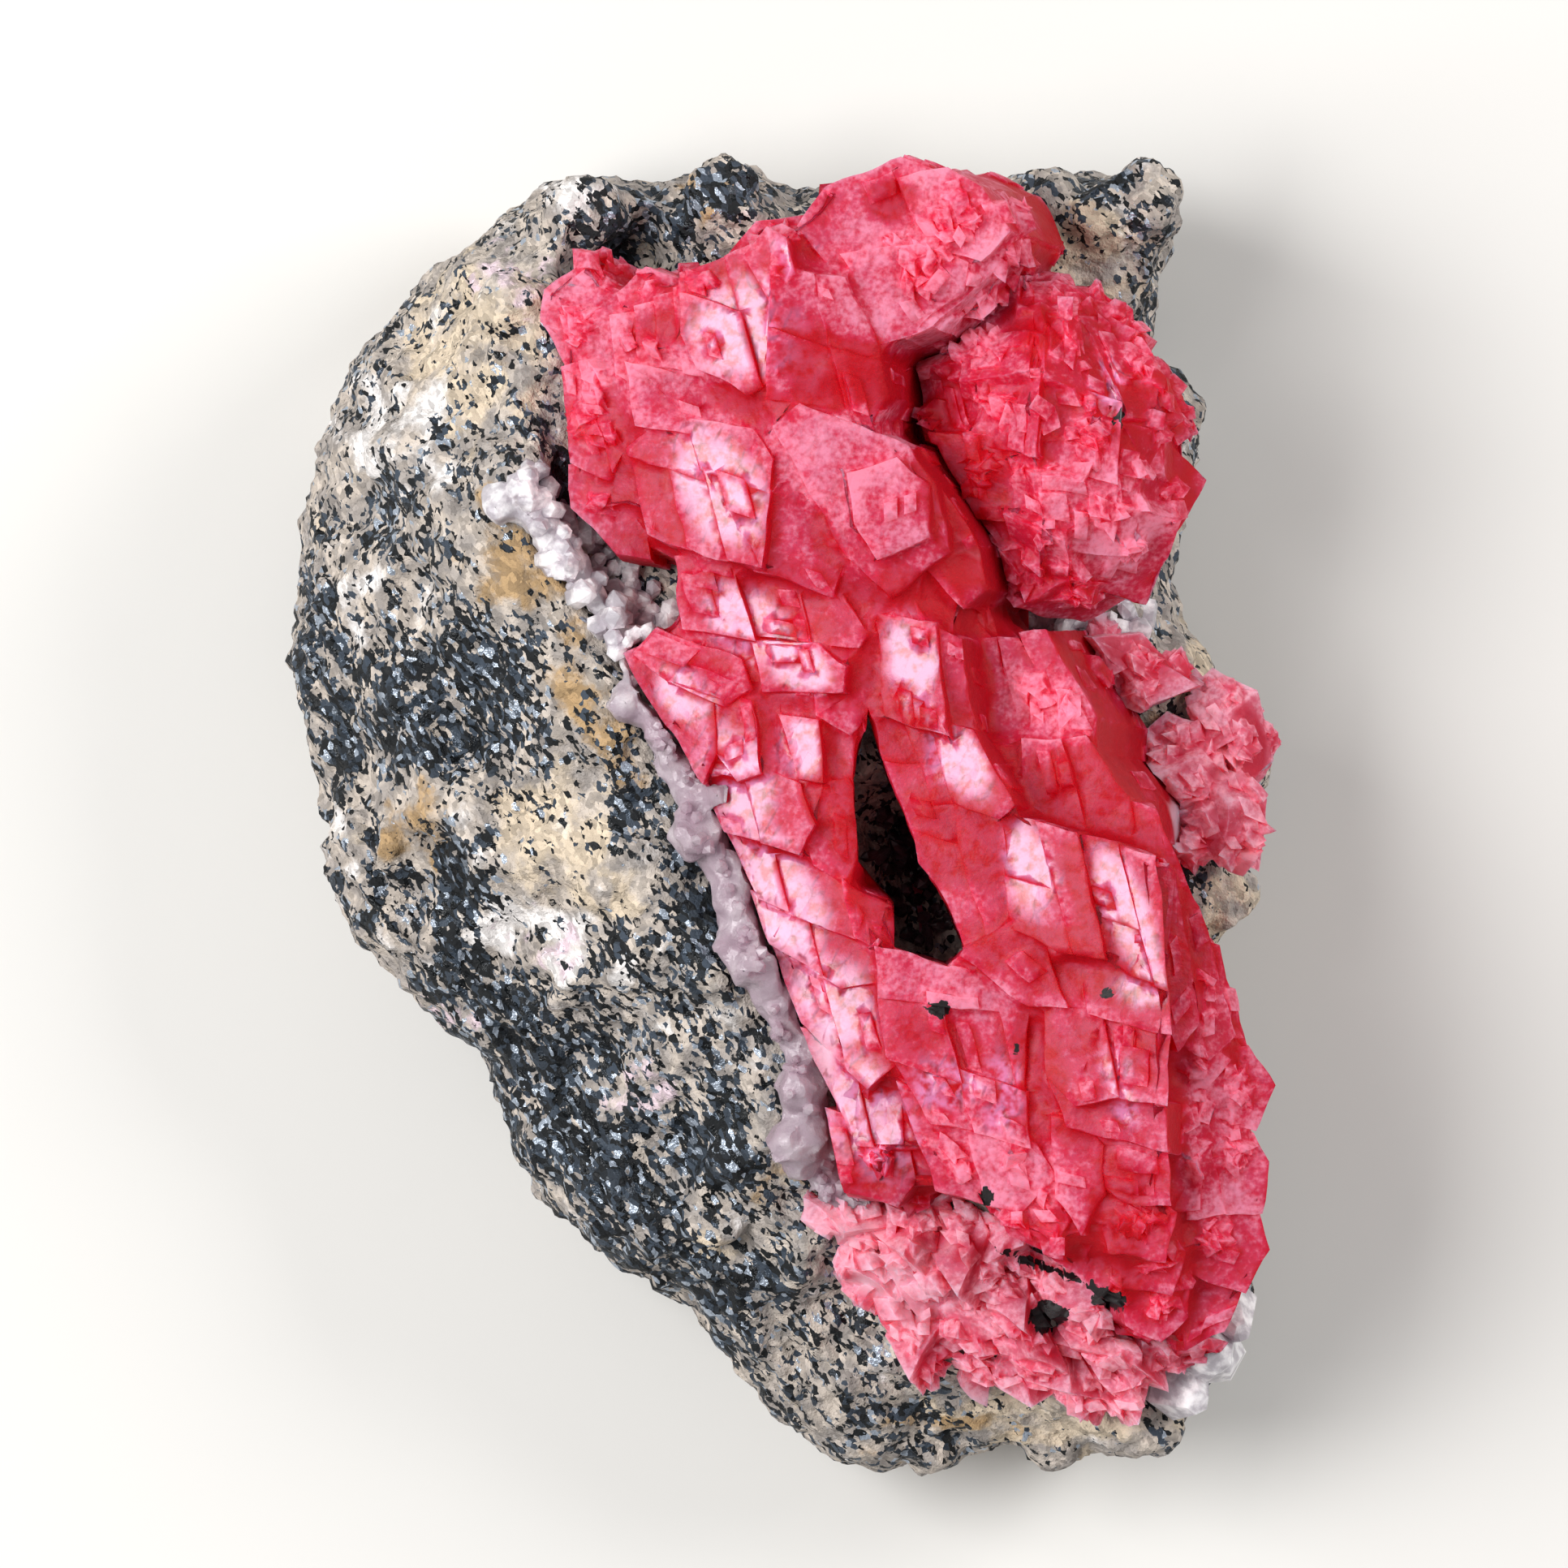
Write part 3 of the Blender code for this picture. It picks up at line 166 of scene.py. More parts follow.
def shade(piece, smooth):
    piece.data.polygons.foreach_set("use_smooth", [smooth] * len(piece.data.polygons))
    piece.data.update()


def points_of(piece):
    points = np.empty(len(piece.data.vertices) * 3, np.float32)
    piece.data.vertices.foreach_get("co", points)
    return points.reshape(-1, 3)


def normals_of(piece):
    normals = np.empty(len(piece.data.vertices) * 3, np.float32)
    piece.data.vertices.foreach_get("normal", normals)
    return normals.reshape(-1, 3)


def store(piece, name, values):
    """Keeps one number per vertex where the finish can read it."""
    layer = piece.data.attributes.new(name, "FLOAT", "POINT")
    layer.data.foreach_set("value", np.asarray(values, np.float32))


def stands_for(piece, node_name, finish):
    """Puts the piece in a CAD node's place, on the one body, with its finish."""
    piece.data.materials.append(finish.material)
    piece.data.polygons.foreach_set("material_index", [0] * len(piece.data.polygons))
    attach(piece, "root")
    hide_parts(node_name)


# ---------------------------------------------------------------- relief and zones


def wander(points, size, seed):
    """Smooth noise about `size` across: three numbers around -1 to 1 for each point."""
    shift = Vector((3.1 * seed, 1.7 * seed, 2.3 * seed))
    return np.array([noise.noise_vector(Vector(p) / size + shift) for p in points])


def eased(values, low, high):
    """0 below low, 1 above high, smooth between."""
    share = np.clip((values - low) / (high - low), 0.0, 1.0)
    return share * share * (3.0 - 2.0 * share)


def zone(spots, points):
    """How deep each point lies in the spots, seen from above: 1 well inside one, 0 outside them all."""
    best = np.zeros(len(points))
    for middle_x, middle_y, half_long, half_wide, turn in spots:
        c = math.cos(math.radians(turn))
        s = math.sin(math.radians(turn))
        x = points[:, 0] - middle_x
        y = points[:, 1] - middle_y
        reach = np.hypot((x * c + y * s) / half_long, (y * c - x * s) / half_wide)
        best = np.maximum(best, 1.0 - eased(reach, 0.55, 1.25))
    return best


def swelling(piece, rounds=1):
    """How far each vertex stands proud of its neighbours, in mm: above 0 on ridges, below 0 in grooves."""
    mesh = piece.data
    ends = np.empty(len(mesh.edges) * 2, np.int64)
    mesh.edges.foreach_get("vertices", ends)
    ends = ends.reshape(-1, 2)
    count = np.maximum(np.bincount(ends.ravel(), minlength=len(mesh.vertices)), 1)[:, None]
    places = points_of(piece).astype(np.float64) / MM

    def neighbours(values):
        total = np.zeros_like(values)
        np.add.at(total, ends[:, 0], values[ends[:, 1]])
        np.add.at(total, ends[:, 1], values[ends[:, 0]])
        return total / count

    proud = np.sum((places - neighbours(places)) * normals_of(piece), axis=1)[:, None]
    for _ in range(rounds):
        proud = (proud + neighbours(proud)) / 2.0
    return proud[:, 0]


def move_points(piece, places):
    """Puts the vertices at places given in millimetres."""
    piece.data.vertices.foreach_set("co", (places * MM).astype(np.float32).ravel())
    piece.data.update()


def crisp(piece, degrees):
    """Smooth shading with edges left sharp where faces meet at more than an angle."""
    shade(piece, True)
    piece.data.set_sharp_from_angle(angle=math.radians(degrees))


# ---------------------------------------------------------------- red crystals

EDGE_DOWN = Vector((0.26, -0.955, 0.14)).normalized()
EDGE_RIGHT = Vector((0.90, -0.30, 0.32)).normalized()
EDGE_IN = Vector((0.45, 0.15, -0.88)).normalized()


def flat_faces(piece):
    """The crystal piece's flat faces: corners, normal and area in square millimetres."""
    body = bmesh.new()
    body.from_mesh(piece.data)
    bmesh.ops.dissolve_limit(body, angle_limit=math.radians(1.5), verts=body.verts, edges=body.edges)
    faces = [([v.co.copy() for v in f.verts], f.normal.copy(), f.calc_area() / MM**2) for f in body.faces]
    body.free()
    return faces


def edge_directions(corners, normal):
    """The two directions in which most of the face's outline runs."""
    edges = [b - a for a, b in zip(corners, corners[1:] + corners[:1])]
    edges.sort(key=lambda e: -e.length)
    first = edges[0].normalized()
    across = [e for e in edges[1:] if abs(e.normalized().dot(first)) < 0.75]
    if across:
        second = across[0].normalized()
    else:
        second = Matrix.Rotation(math.radians(75), 3, normal) @ first
    if first.cross(second).dot(normal) < 0:
        second = -second
    return first, second


def covers(outline, x, y):
    """Whether a flat outline holds the point."""
    held = False
    for (ax, ay), (bx, by) in zip(outline, outline[1:] + outline[:1]):
        if (ay > y) != (by > y) and x < (bx - ax) * (y - ay) / (by - ay) + ax:
            held = not held
    return held


BLOCK_FACES = ((3, 2, 1, 0), (4, 5, 6, 7), (0, 1, 5, 4), (1, 2, 6, 5), (2, 3, 7, 6), (3, 0, 4, 7))


def growth_plates(faces, seed, per_mm2, longest, broadest, rise, sink, least_area, overhang):
    """Thin slanted plates laid on the flat faces along their own edges: centre, reach and eight corners each."""
    dice = random.Random(seed)
    plates = []
    for corners, normal, area in faces:
        if area < least_area or normal.z < 0.05:
            continue
        along, across = edge_directions(corners, normal)
        side = normal.cross(along)
        origin = corners[0]
        outline = [((c - origin).dot(along), (c - origin).dot(side)) for c in corners]
        low = [min(p[i] for p in outline) for i in (0, 1)]
        high = [max(p[i] for p in outline) for i in (0, 1)]
        wanted = area * per_mm2
        for _ in range(int(wanted) + (dice.random() < wanted % 1)):
            x = dice.uniform(low[0], high[0])
            y = dice.uniform(low[1], high[1])
            if not covers(outline, x, y):
                continue
            centre = origin + along * x + side * y
            u = along * dice.uniform(0.25, 1.0) ** 1.6 * longest * MM / 2
            v = across * dice.uniform(0.3, 1.0) ** 1.4 * broadest * MM / 2
            for _ in range(6):
                ring = [centre + s * u * overhang + t * v * overhang for s, t in ((-1, -1), (1, -1), (1, 1), (-1, 1))]
                if all(covers(outline, (r - origin).dot(along), (r - origin).dot(side)) for r in ring):
                    break
                u *= 0.78
                v *= 0.78
            else:
                continue
            if min(u.length, v.length) < 0.4 * MM:
                continue
            lift = normal * dice.uniform(*rise) * MM
            lean = Euler([math.radians(dice.gauss(0, 0.9)) for _ in range(3)]).to_matrix()
            ring = [(-1, -1), (1, -1), (1, 1), (-1, 1)]
            below = [centre + s * u * 1.02 + t * v * 1.02 - normal * sink * MM for s, t in ring]
            above = [centre + lean @ (s * u * 0.97 + t * v * 0.97) + lift for s, t in ring]
            reach = (u.length + v.length) * 1.04 + (sink + rise[1]) * MM
            plates.append((centre, reach, below + above, BLOCK_FACES))
    return plates


def in_turns(blocks):
    """Sorts blocks into as few sets as it takes for none to touch another of its set."""
    turns = []
    for block in blocks:
        for turn in turns:
            if all((block[0] - other[0]).length > block[1] + other[1] for other in turn):
                turn.append(block)
                break
        else:
            turns.append([block])
    return turns


def work_in(piece, blocks, operation):
    """Fuses the blocks with the piece, or cuts them from it."""
    tools = []
    for number, turn in enumerate(in_turns(blocks)):
        mesh = bpy.data.meshes.new("blocks")
        vertices = []
        faces = []
        for _, _, corners, sides in turn:
            faces += [[len(vertices) + k for k in side] for side in sides]
            vertices += corners
        mesh.from_pydata(vertices, [], faces)
        body = bmesh.new()
        body.from_mesh(mesh)
        bmesh.ops.recalc_face_normals(body, faces=body.faces)
        body.to_mesh(mesh)
        body.free()
        tool = bpy.data.objects.new("blocks", mesh)
        bpy.context.scene.collection.objects.link(tool)
        tools.append(tool)
        step = piece.modifiers.new(f"blocks {number}", "BOOLEAN")
        step.operation = operation
        step.solver = "MANIFOLD"
        step.object = tool
    settle(piece)
    piece.data.materials.clear()
    for tool in tools:
        bpy.data.objects.remove(tool)


LATTICE = np.linalg.inv(np.array([EDGE_DOWN, EDGE_RIGHT, EDGE_IN]).T)
FRONT = np.array([-0.32, 0.05, 0.947])      # outward directions of the three sets of crystal faces
RIGHT = np.array([0.83, 0.30, 0.48])
TOP = np.array([0.2, 0.93, 0.27])

# Places seen from above: middle x and y, half length, half width in mm, turn in degrees.
PALE_PLACES = (
    (9.0, 41.0, 9.0, 7.0, 0), (5.0, 26.0, 8.5, 6.0, -30), (-8.0, 31.4, 6.0, 3.6, -20), (12.0, -12.6, 5.5, 2.2, -20),
    (17.0, -26.4, 6.0, 3.0, -15), (33.0, -22.0, 3.5, 12.0, 0), (-15.0, 35.0, 4.0, 6.0, 0), (24.0, 22.0, 5.0, 5.0, 0),
    (1.0, -12.0, 2.2, 12.0, 22), (19.0, 8.5, 4.0, 4.0, 0), (4.0, -31.0, 4.0, 3.0, 0),
)
# Deep red painted shade: gaps between the masses, shadow lines under overhangs and shaded faces.
DEEP_SHADE_PLACES = (
    (8.7, 8.4, 5.2, 2.4, -80), (12.8, -1.5, 4.8, 3.0, -45), (22.4, 1.6, 4.8, 3.2, -50), (23.1, -6.8, 4.6, 1.5, -72),
    (22.6, -11.1, 6.2, 2.2, -20), (19.1, -18.2, 4.6, 1.7, -80), (3.6, 1.3, 5.8, 2.0, -70), (4.4, 32.5, 3.6, 2.8, 0),
    (-2.1, 30.6, 3.6, 1.2, -15), (11.6, 27.8, 1.8, 5.6, 0), (3.1, 20.9, 2.6, 1.0, -60), (8.7, 16.8, 2.2, 1.2, 0),
    (8.1, 46.0, 2.2, 1.6, 0), (14.4, 24.9, 2.6, 4.0, 0), (18.6, 36.0, 2.2, 2.6, 0), (24.5, -30.0, 1.8, 6.0, 10),
)
GRANULAR_PLACES = (
    (-13.5, 38.5, 5.0, 4.5, 0), (-14.0, 29.0, 2.6, 6.0, 0), (-4.0, 42.5, 5.0, 3.0, 20), (33.0, -22.0, 3.2, 12.0, 0),
    (20.4, 9.0, 3.2, 4.6, 0), (14.0, -28.5, 8.0, 3.4, -20), (27.0, -33.0, 4.0, 5.0, 0), (13.0, 42.0, 5.0, 4.0, 0),
)
MILKY_PLACES = (
    (8.5, -35.0, 4.6, 6.4, 0), (10.7, -31.5, 3.8, 2.0, 0), (14.5, -45.0, 3.0, 1.8, 0), (2.9, -18.8, 8.5, 1.5, -78),
    (-14.5, 27.0, 1.0, 4.0, 20), (31.0, -1.0, 2.4, 4.0, 0), (33.5, 2.0, 2.6, 4.0, 0), (7.4, -1.6, 1.6, 2.2, 0),
)
SOOTY_PLACES = (
    (11.6, -14.3, 1.0, 0.7, 0), (17.2, -17.3, 0.5, 0.5, 0), (14.8, -28.5, 0.6, 0.8, 0), (19.8, -37.6, 1.7, 1.3, 0),
    (24.4, -36.2, 1.4, 0.9, 0), (20.0, -34.0, 5.4, 0.35, -22), (24.0, -13.2, 0.3, 0.3, 0), (24.8, 29.6, 0.4, 0.4, 0),
)
# Glassy front faces: real gloss, and where the painted sheen is laid over the red.
GLASSY_PLACES = (
    (18.2, -3.8, 4.2, 2.1, -78), (25.3, -7.0, 5.7, 2.1, -68), (9.5, 11.2, 4.0, 1.9, -80), (13.2, 4.1, 3.5, 2.1, -60),
    (-3.1, 36.2, 4.4, 4.4, 0), (-4.8, 24.2, 5.4, 3.4, -60), (1.0, 11.3, 3.2, 2.2, -30), (1.4, 4.9, 2.5, 1.8, -80),
    (-2.5, 14.1, 4.2, 2.6, -40), (-3.4, 2.7, 4.8, 2.8, -70), (-0.4, -5.9, 6.2, 3.2, -65), (3.9, -13.9, 4.2, 2.8, -60),
    (6.4, -22.5, 5.7, 3.2, -60), (0.6, 41.5, 1.6, 2.0, 0), (24.5, 31.6, 1.8, 2.4, 0), (12.0, -20.0, 3.2, 2.2, 0),
    (16.2, -20.6, 1.6, 3.2, 0), (24.9, -20.0, 3.6, 1.3, -75), (26.7, -12.6, 2.2, 1.7, 0), (-7.5, 9.0, 3.0, 1.8, -45),
)


VALLEY = (
    (6.3, 8.0), (5.0, 2.7), (5.5, -3.4), (8.0, -6.5), (8.2, -9.9), (12.2, -11.2), (13.4, -9.9), (12.2, -6.5),
    (10.0, -3.4), (9.1, 0.3), (7.2, 4.6),
)


def column(outline, low, high):
    """An upright block over an outline seen from above, in mm: its middle, reach, corners and faces."""
    count = len(outline)
    corners = [Vector((x, y, z)) * MM for z in (low, high) for x, y in outline]
    sides = [(k, (k + 1) % count, count + (k + 1) % count, count + k) for k in range(count)]
    return corners[0], 0.0, corners, [tuple(range(count)), tuple(range(count, 2 * count))] + sides


def fill_between(piece, reach, drop):
    """Fuses in the mass that the crystals share, filling gaps narrower than twice `reach` to `drop` mm down."""
    infill = bpy.data.objects.new("infill", piece.data.copy())
    bpy.context.scene.collection.objects.link(infill)
    close_gaps(infill, reach, 0.75, -reach - drop)
    work_in(infill, [column(VALLEY, 12.0, 60.0)], "DIFFERENCE")
    step = piece.modifiers.new("infill", "BOOLEAN")
    step.operation = "UNION"
    step.solver = "MANIFOLD"
    step.object = infill
    settle(piece)
    piece.data.materials.clear()
    bpy.data.objects.remove(infill)


def finer(piece, longest):
    """Splits edges longer than `longest` mm, so that the flat faces can carry colour that changes over them."""
    body = bmesh.new()
    body.from_mesh(piece.data)
    bmesh.ops.triangulate(body, faces=body.faces)
    for _ in range(5):
        too_long = [e for e in body.edges if e.calc_length() > longest * MM
                    and any(f.normal.z > -0.35 for f in e.link_faces)]
        if not too_long:
            break
        bmesh.ops.subdivide_edges(body, edges=too_long, cuts=1)
        bmesh.ops.triangulate(body, faces=[f for f in body.faces if len(f.verts) > 3])
    body.to_mesh(piece.data)
    body.free()


def close_gaps(piece, gap, grain, back):
    """Swells the piece by `gap`, evens its mesh to faces `grain` across and moves it by `back`, all in mm."""
    for kind, amount in (("DISPLACE", gap), ("REMESH", grain), ("DISPLACE", back)):
        step = piece.modifiers.new("close gaps", kind)
        if kind == "REMESH":
            step.mode = "VOXEL"
            step.voxel_size = amount * MM
        else:
            step.mid_level = 0.0
            step.strength = amount * MM
    settle(piece)


def small_crystals(piece, seed, per_mm2, places=None):
    """Small rhombohedra grown out of the piece's upper faces: middle, reach, corners and faces of each."""
    dice = random.Random(seed)
    crystals = []
    for corners, normal, area in flat_faces(piece):
        if normal.z < 0.05:
            continue
        for _ in range(int(area * per_mm2 + dice.random())):
            shares = [dice.random() ** 1.5 for _ in corners]
            root = sum((c * w for c, w in zip(corners, shares)), Vector()) / sum(shares)
            lean = Euler([math.radians(dice.gauss(0, 28)) for _ in range(3)]).to_matrix()
            a, b, c = (lean @ edge * dice.uniform(0.35, 1.0) * MM for edge in (EDGE_DOWN, EDGE_RIGHT, -EDGE_IN))
            if places and zone(places, np.array([root]) / MM)[0] < dice.random():
                continue
            ring = [(-1, -1), (1, -1), (1, 1), (-1, 1)]
            block = [root + s * a + t * b + side * c for side in (-0.9, 0.7) for s, t in ring]
            crystals.append((root, a.length + b.length + c.length, block, BLOCK_FACES))
    return crystals


def ruffle(piece, seed):
    """Moves the corners of the flat faces a little, so that no two lie quite alike."""
    places = points_of(piece).astype(np.float64) / MM
    loose = 1.0 - 0.75 * zone(GLASSY_PLACES, places)[:, None]
    move_points(piece, places + loose * (0.32 * wander(places, 2.8, seed + 3) + 0.07 * wander(places, 1.0, seed + 4)))
    crisp(piece, 26)


def tint_crystals(piece, seed, lighter=0.0):
    """Keeps how pale, glassy, sooty and milky the crystals are, from the set of faces, the place and the rims; the
    paleness holds painted light and shade (top faces paler, right faces darker, rims paler, grooves darker, deep red
    painted shade in listed places).
    """
    places = points_of(piece).astype(np.float64) / MM
    normals = normals_of(piece)
    # Painted light and shade by face direction: top faces paler, right faces darker.
    right_facing_shade = eased(normals @ RIGHT, 0.55, 0.9)
    top_facing_light = eased(normals @ TOP, 0.5, 0.85)
    proud = swelling(piece, 2)
    mist = wander(places, 4.5, seed + 5)
    ragged = places + 1.0 * wander(places, 3.0, seed + 7)
    pale = 0.36 + 0.25 * top_facing_light - 0.40 * right_facing_shade + lighter
    # Deep red painted shade in gaps, under overhangs and on shaded faces, from the listed places.
    pale += 0.50 * zone(PALE_PLACES, ragged) - 0.80 * zone(DEEP_SHADE_PLACES, ragged) + 0.40 * mist[:, 0]
    # Painted rim light and painted shade: ridges paler, grooves darker.
    pale += np.clip(proud * 3.0, -0.25, 0.35)
    front = eased(normals @ FRONT, 0.72, 0.93)
    # Real gloss on front faces in listed places; the same mask carries the painted sheen.
    glints = zone(GLASSY_PLACES, places + 0.7 * wander(places, 2.0, seed + 6))
    grains = places + 0.5 * wander(places, 0.8, seed + 8)
    milky = 0.5 * zone(MILKY_PLACES, ragged) + 0.45 * mist[:, 1] + 0.25 * wander(places, 1.6, seed + 9)[:, 0]
    store(piece, "pale", np.clip(pale, 0.0, 1.3))
    store(piece, "glassy", front * np.maximum(glints, 0.15))
    store(piece, "sooty", zone(SOOTY_PLACES, grains))
    store(piece, "milky", milky)


def crystal_finish(name, deep, rose, pale):
    """Rhodochrosite: a translucent red carbonate with glassy cleavage faces."""
    finish = Finish(name)
    # The light that enters spreads a few millimetres and comes out red, so the
    # crystals look lit from within; the deep red in the gaps and the rosy rims are also painted shade and painted
    # light, carried in the pale attribute.
    place = finish.place()
    glassy = finish.attribute("glassy")
    mist = finish.cloud(2.4, 3.0)
    fleck = finish.cloud(0.45, 2.0)
    amount = finish.maths("ADD", finish.attribute("pale"), finish.maths("SUBTRACT", mist, 0.5))
    body = finish.mix(finish.ramp(amount, 0.05, 0.62), linear(deep), linear(rose))
    speckled = finish.maths("ADD", amount, finish.maths("MULTIPLY", finish.maths("SUBTRACT", fleck, 0.5), 1.4))
    body = finish.mix(finish.ramp(speckled, 0.35, 1.3), body, linear(pale))
    body = finish.mix(finish.ramp(finish.attribute("milky"), 0.3, 0.9), body, linear("#dcb4c4"))
    # Cleavage panes, a millimetre or two long down the crystal: each leans its
    # own way, so the glassy faces catch the light pane by pane, with fine dark
    # cracks between them.
    along = []
    for direction, pane in ((EDGE_DOWN, 2.3), (EDGE_RIGHT, 1.15), (EDGE_IN, 1.6)):
        reach = finish.add("VectorMath", {"operation": "DOT_PRODUCT"}, "Value", i0=place, i1=tuple(direction))
        along.append(finish.maths("DIVIDE", reach, pane * MM))
    pane_place = finish.add("CombineXYZ", None, i0=along[0], i1=along[1], i2=along[2])
    waver = finish.add("TexNoise", None, "Color", Vector=pane_place, Scale=1.1, Detail=1.0)
    pane_place = finish.add("VectorMath", {"operation": "MULTIPLY_ADD"}, i0=waver, i1=(0.5, 0.5, 0.5), i2=pane_place)
    gap = finish.cells(1 / MM, "DISTANCE_TO_EDGE", "Distance", pane_place)
    pane = finish.cells(1 / MM, "F1", "Color", pane_place).node
    away = finish.add("VectorMath", {"operation": "SUBTRACT"}, i0=pane_place, i1=pane.outputs["Position"])
    tilt = finish.add("VectorMath", {"operation": "SUBTRACT"}, i0=pane.outputs["Color"], i1=(0.5, 0.5, 0.5))
    facet = finish.add("VectorMath", {"operation": "DOT_PRODUCT"}, "Value", i0=away, i1=tilt)
    crack = finish.maths("SUBTRACT", 1.0, finish.ramp(gap, 0.03, 0.13))
    broken = finish.ramp(finish.cloud(1.7, 1.0), 0.40, 0.52)
    crack = finish.maths("MULTIPLY", crack, finish.maths("MULTIPLY", broken, finish.ramp(glassy, 0.0, 0.5)))
    body = finish.mix(finish.maths("MULTIPLY", crack, 0.85), body, linear("#8a0a26"))
    # Painted sheen: the reflection of the light on the smooth front cleavage faces, painted as a faint lilac haze over
    # the red.
    painted_sheen = finish.maths("MULTIPLY", glassy, finish.ramp(finish.cloud(0.9, 2.0), 0.3, 0.6))
    body = finish.mix(finish.maths("MULTIPLY", painted_sheen, 0.75), body, linear("#ce7cac"))
    # Dark metallic grains grown in between the crystals.
    soot = finish.ramp(finish.maths("ADD", finish.attribute("sooty"), finish.maths("SUBTRACT", fleck, 0.5)), 0.5, 0.6)
    body = finish.mix(soot, body, linear("#1c1718"))
    matte = finish.maths("MULTIPLY_ADD", glassy, -0.85, 1.0)
    grain = finish.maths("MULTIPLY", finish.cloud(0.45, 2.0, roughness=0.7), matte)
    normal = finish.relief((finish.maths("MULTIPLY", facet, glassy), 0.12), (grain, 0.08))
    finish.set(
        Base_Color=body, Roughness=finish.add("MapRange", None, Value=glassy, To_Min=0.58, To_Max=0.24),
        Specular_IOR_Level=finish.add("MapRange", None, Value=glassy, To_Min=0.12, To_Max=0.36), IOR=1.7, Normal=normal, Subsurface_Radius=(1.0, 0.10, 0.12),
        Subsurface_Weight=finish.add("MapRange", None, Value=finish.maths("MAXIMUM", crack, soot), To_Min=0.8, To_Max=0.1),
        Subsurface_Scale=2.6 * MM,
    )
    return finish


def build_crystals():
    red = crystal_finish("rhodochrosite crystal, naturally grown", "#a80014", "#b81a3c", "#d67c94")
    pink = crystal_finish("rhodochrosite crust, small pale crystals", "#ac2038", "#c0566c", "#dca2b2")
    plans = (
        ("rhodochrosite_cluster", "stepped_crystals", "rhodochrosite", red,
         (11, 0.16, 5.5, 2.8, (0.05, 0.28), 0.6, 2.0, 1.0)),
        ("rhodochrosite_dome", "domed_crystals", "rhodochrosite", red,
         (12, 0.3, 4.0, 2.4, (0.05, 0.35), 0.6, 1.5, 1.0)),
        ("rhodochrosite_crust", "small_crystal_crust", "rhodochrosite_pale", pink, None),
        ("rhodochrosite_lower_patch", "right_hand_patch", "rhodochrosite_pale", pink, None),
        ("rhodochrosite_upper_patch", "small_upper_patch", "rhodochrosite_pale", pink, None),
    )
    for number, (node_name, piece_name, slot_name, finish, plan) in enumerate(plans):
        piece = own_copy(node_name, piece_name)
        if node_name == "rhodochrosite_cluster":
            work_in(piece, [column(VALLEY, 17.5, 60.0)], "DIFFERENCE")
            small = small_crystals(piece, 31, 0.8, GRANULAR_PLACES)
        else:
            small = small_crystals(piece, 31 + number, 0.3 if plan else 0.9)
        plates = growth_plates(flat_faces(piece), *plan) if plan else []
        work_in(piece, plates + small, "UNION")
        if plan:
            fill_between(piece, 1.5, 0.25)
        finer(piece, 1.0)
        ruffle(piece, 10 * number)
        tint_crystals(piece, 10 * number, (0.0, 0.14, 0.28, 0.28, 0.28)[number])
        stands_for(piece, node_name, finish)
        print(piece_name, len(piece.data.polygons), "faces")


# ---------------------------------------------------------------- matrix rock


# Places on the rock seen from above: middle x and y, half length, half width in mm, turn in degrees.
DARK_PLACES = (
    (-25.0, 7.9, 8.8, 4.8, 0), (-12.4, 43.3, 2.9, 4.4, 0), (-7.1, 46.4, 6.2, 2.6, 0), (-11.4, 1.2, 3.2, 1.8, 0),
    (-6.4, -6.5, 3.2, 4.4, 20), (-25.1, -4.0, 2.5, 4.1, 20), (-20.0, -18.8, 12.5, 4.2, -55), (-4.7, -24.0, 3.0, 3.6, 0),
    (-29.6, 22.4, 3.4, 2.4, 0), (-35.7, 15.0, 1.4, 5.5, 0), (-9.0, -33.0, 9.0, 4.6, -52), (-31.0, -3.5, 1.0, 5.0, 15),
    (-16.5, 22.5, 2.2, 2.6, 0), (25.0, 46.5, 4.0, 1.6, -20), (23.0, 12.0, 4.0, 2.2, -20), (29.0, 1.0, 2.4, 3.0, 0),
    (11.0, -45.8, 4.0, 1.2, 0), (-24.5, -9.5, 2.2, 4.5, 35), (-12.0, -25.0, 8.0, 4.0, -50), (-1.5, -35.9, 3.6, 2.8, 0),
)
GREY_PLACES = (
    (-10.2, -13.9, 5.6, 6.4, 0), (-14.0, 27.0, 4.0, 5.0, 0), (-33.0, 10.0, 3.0, 6.0, 0), (30.0, 36.0, 4.0, 10.0, 10),
    (31.0, -3.0, 4.0, 5.0, 0), (-15.0, -24.0, 6.0, 4.0, -50),
)
WHITE_PLACES = (
    (-29.0, 29.2, 5.4, 5.4, 0), (-15.1, 45.6, 3.4, 2.8, 0), (-31.7, 15.2, 2.2, 3.6, 0), (-18.3, -9.9, 4.4, 3.8, -30),
    (-9.6, -9.8, 1.6, 1.8, 0), (-8.9, -17.2, 1.4, 1.4, 0), (-12.7, -23.5, 1.1, 2.2, 25), (33.6, 45.5, 2.6, 2.6, 0),
    (-33.6, -2.8, 1.4, 3.2, 0), (28.0, 30.0, 2.4, 5.0, 20),
)
CREAM_PLACES = (
    (-22.5, 35.3, 6.4, 6.4, 0), (-17.0, -2.2, 5.4, 5.6, 0), (-12.2, -5.6, 2.4, 2.0, 0), (20.0, -45.5, 12.0, 2.6, 0),
    (24.0, 42.5, 6.0, 4.0, 0), (33.0, 12.0, 3.6, 5.0, 0), (-5.7, -33.0, 2.4, 2.4, 0), (34.0, -8.0, 2.6, 6.0, 0),
)
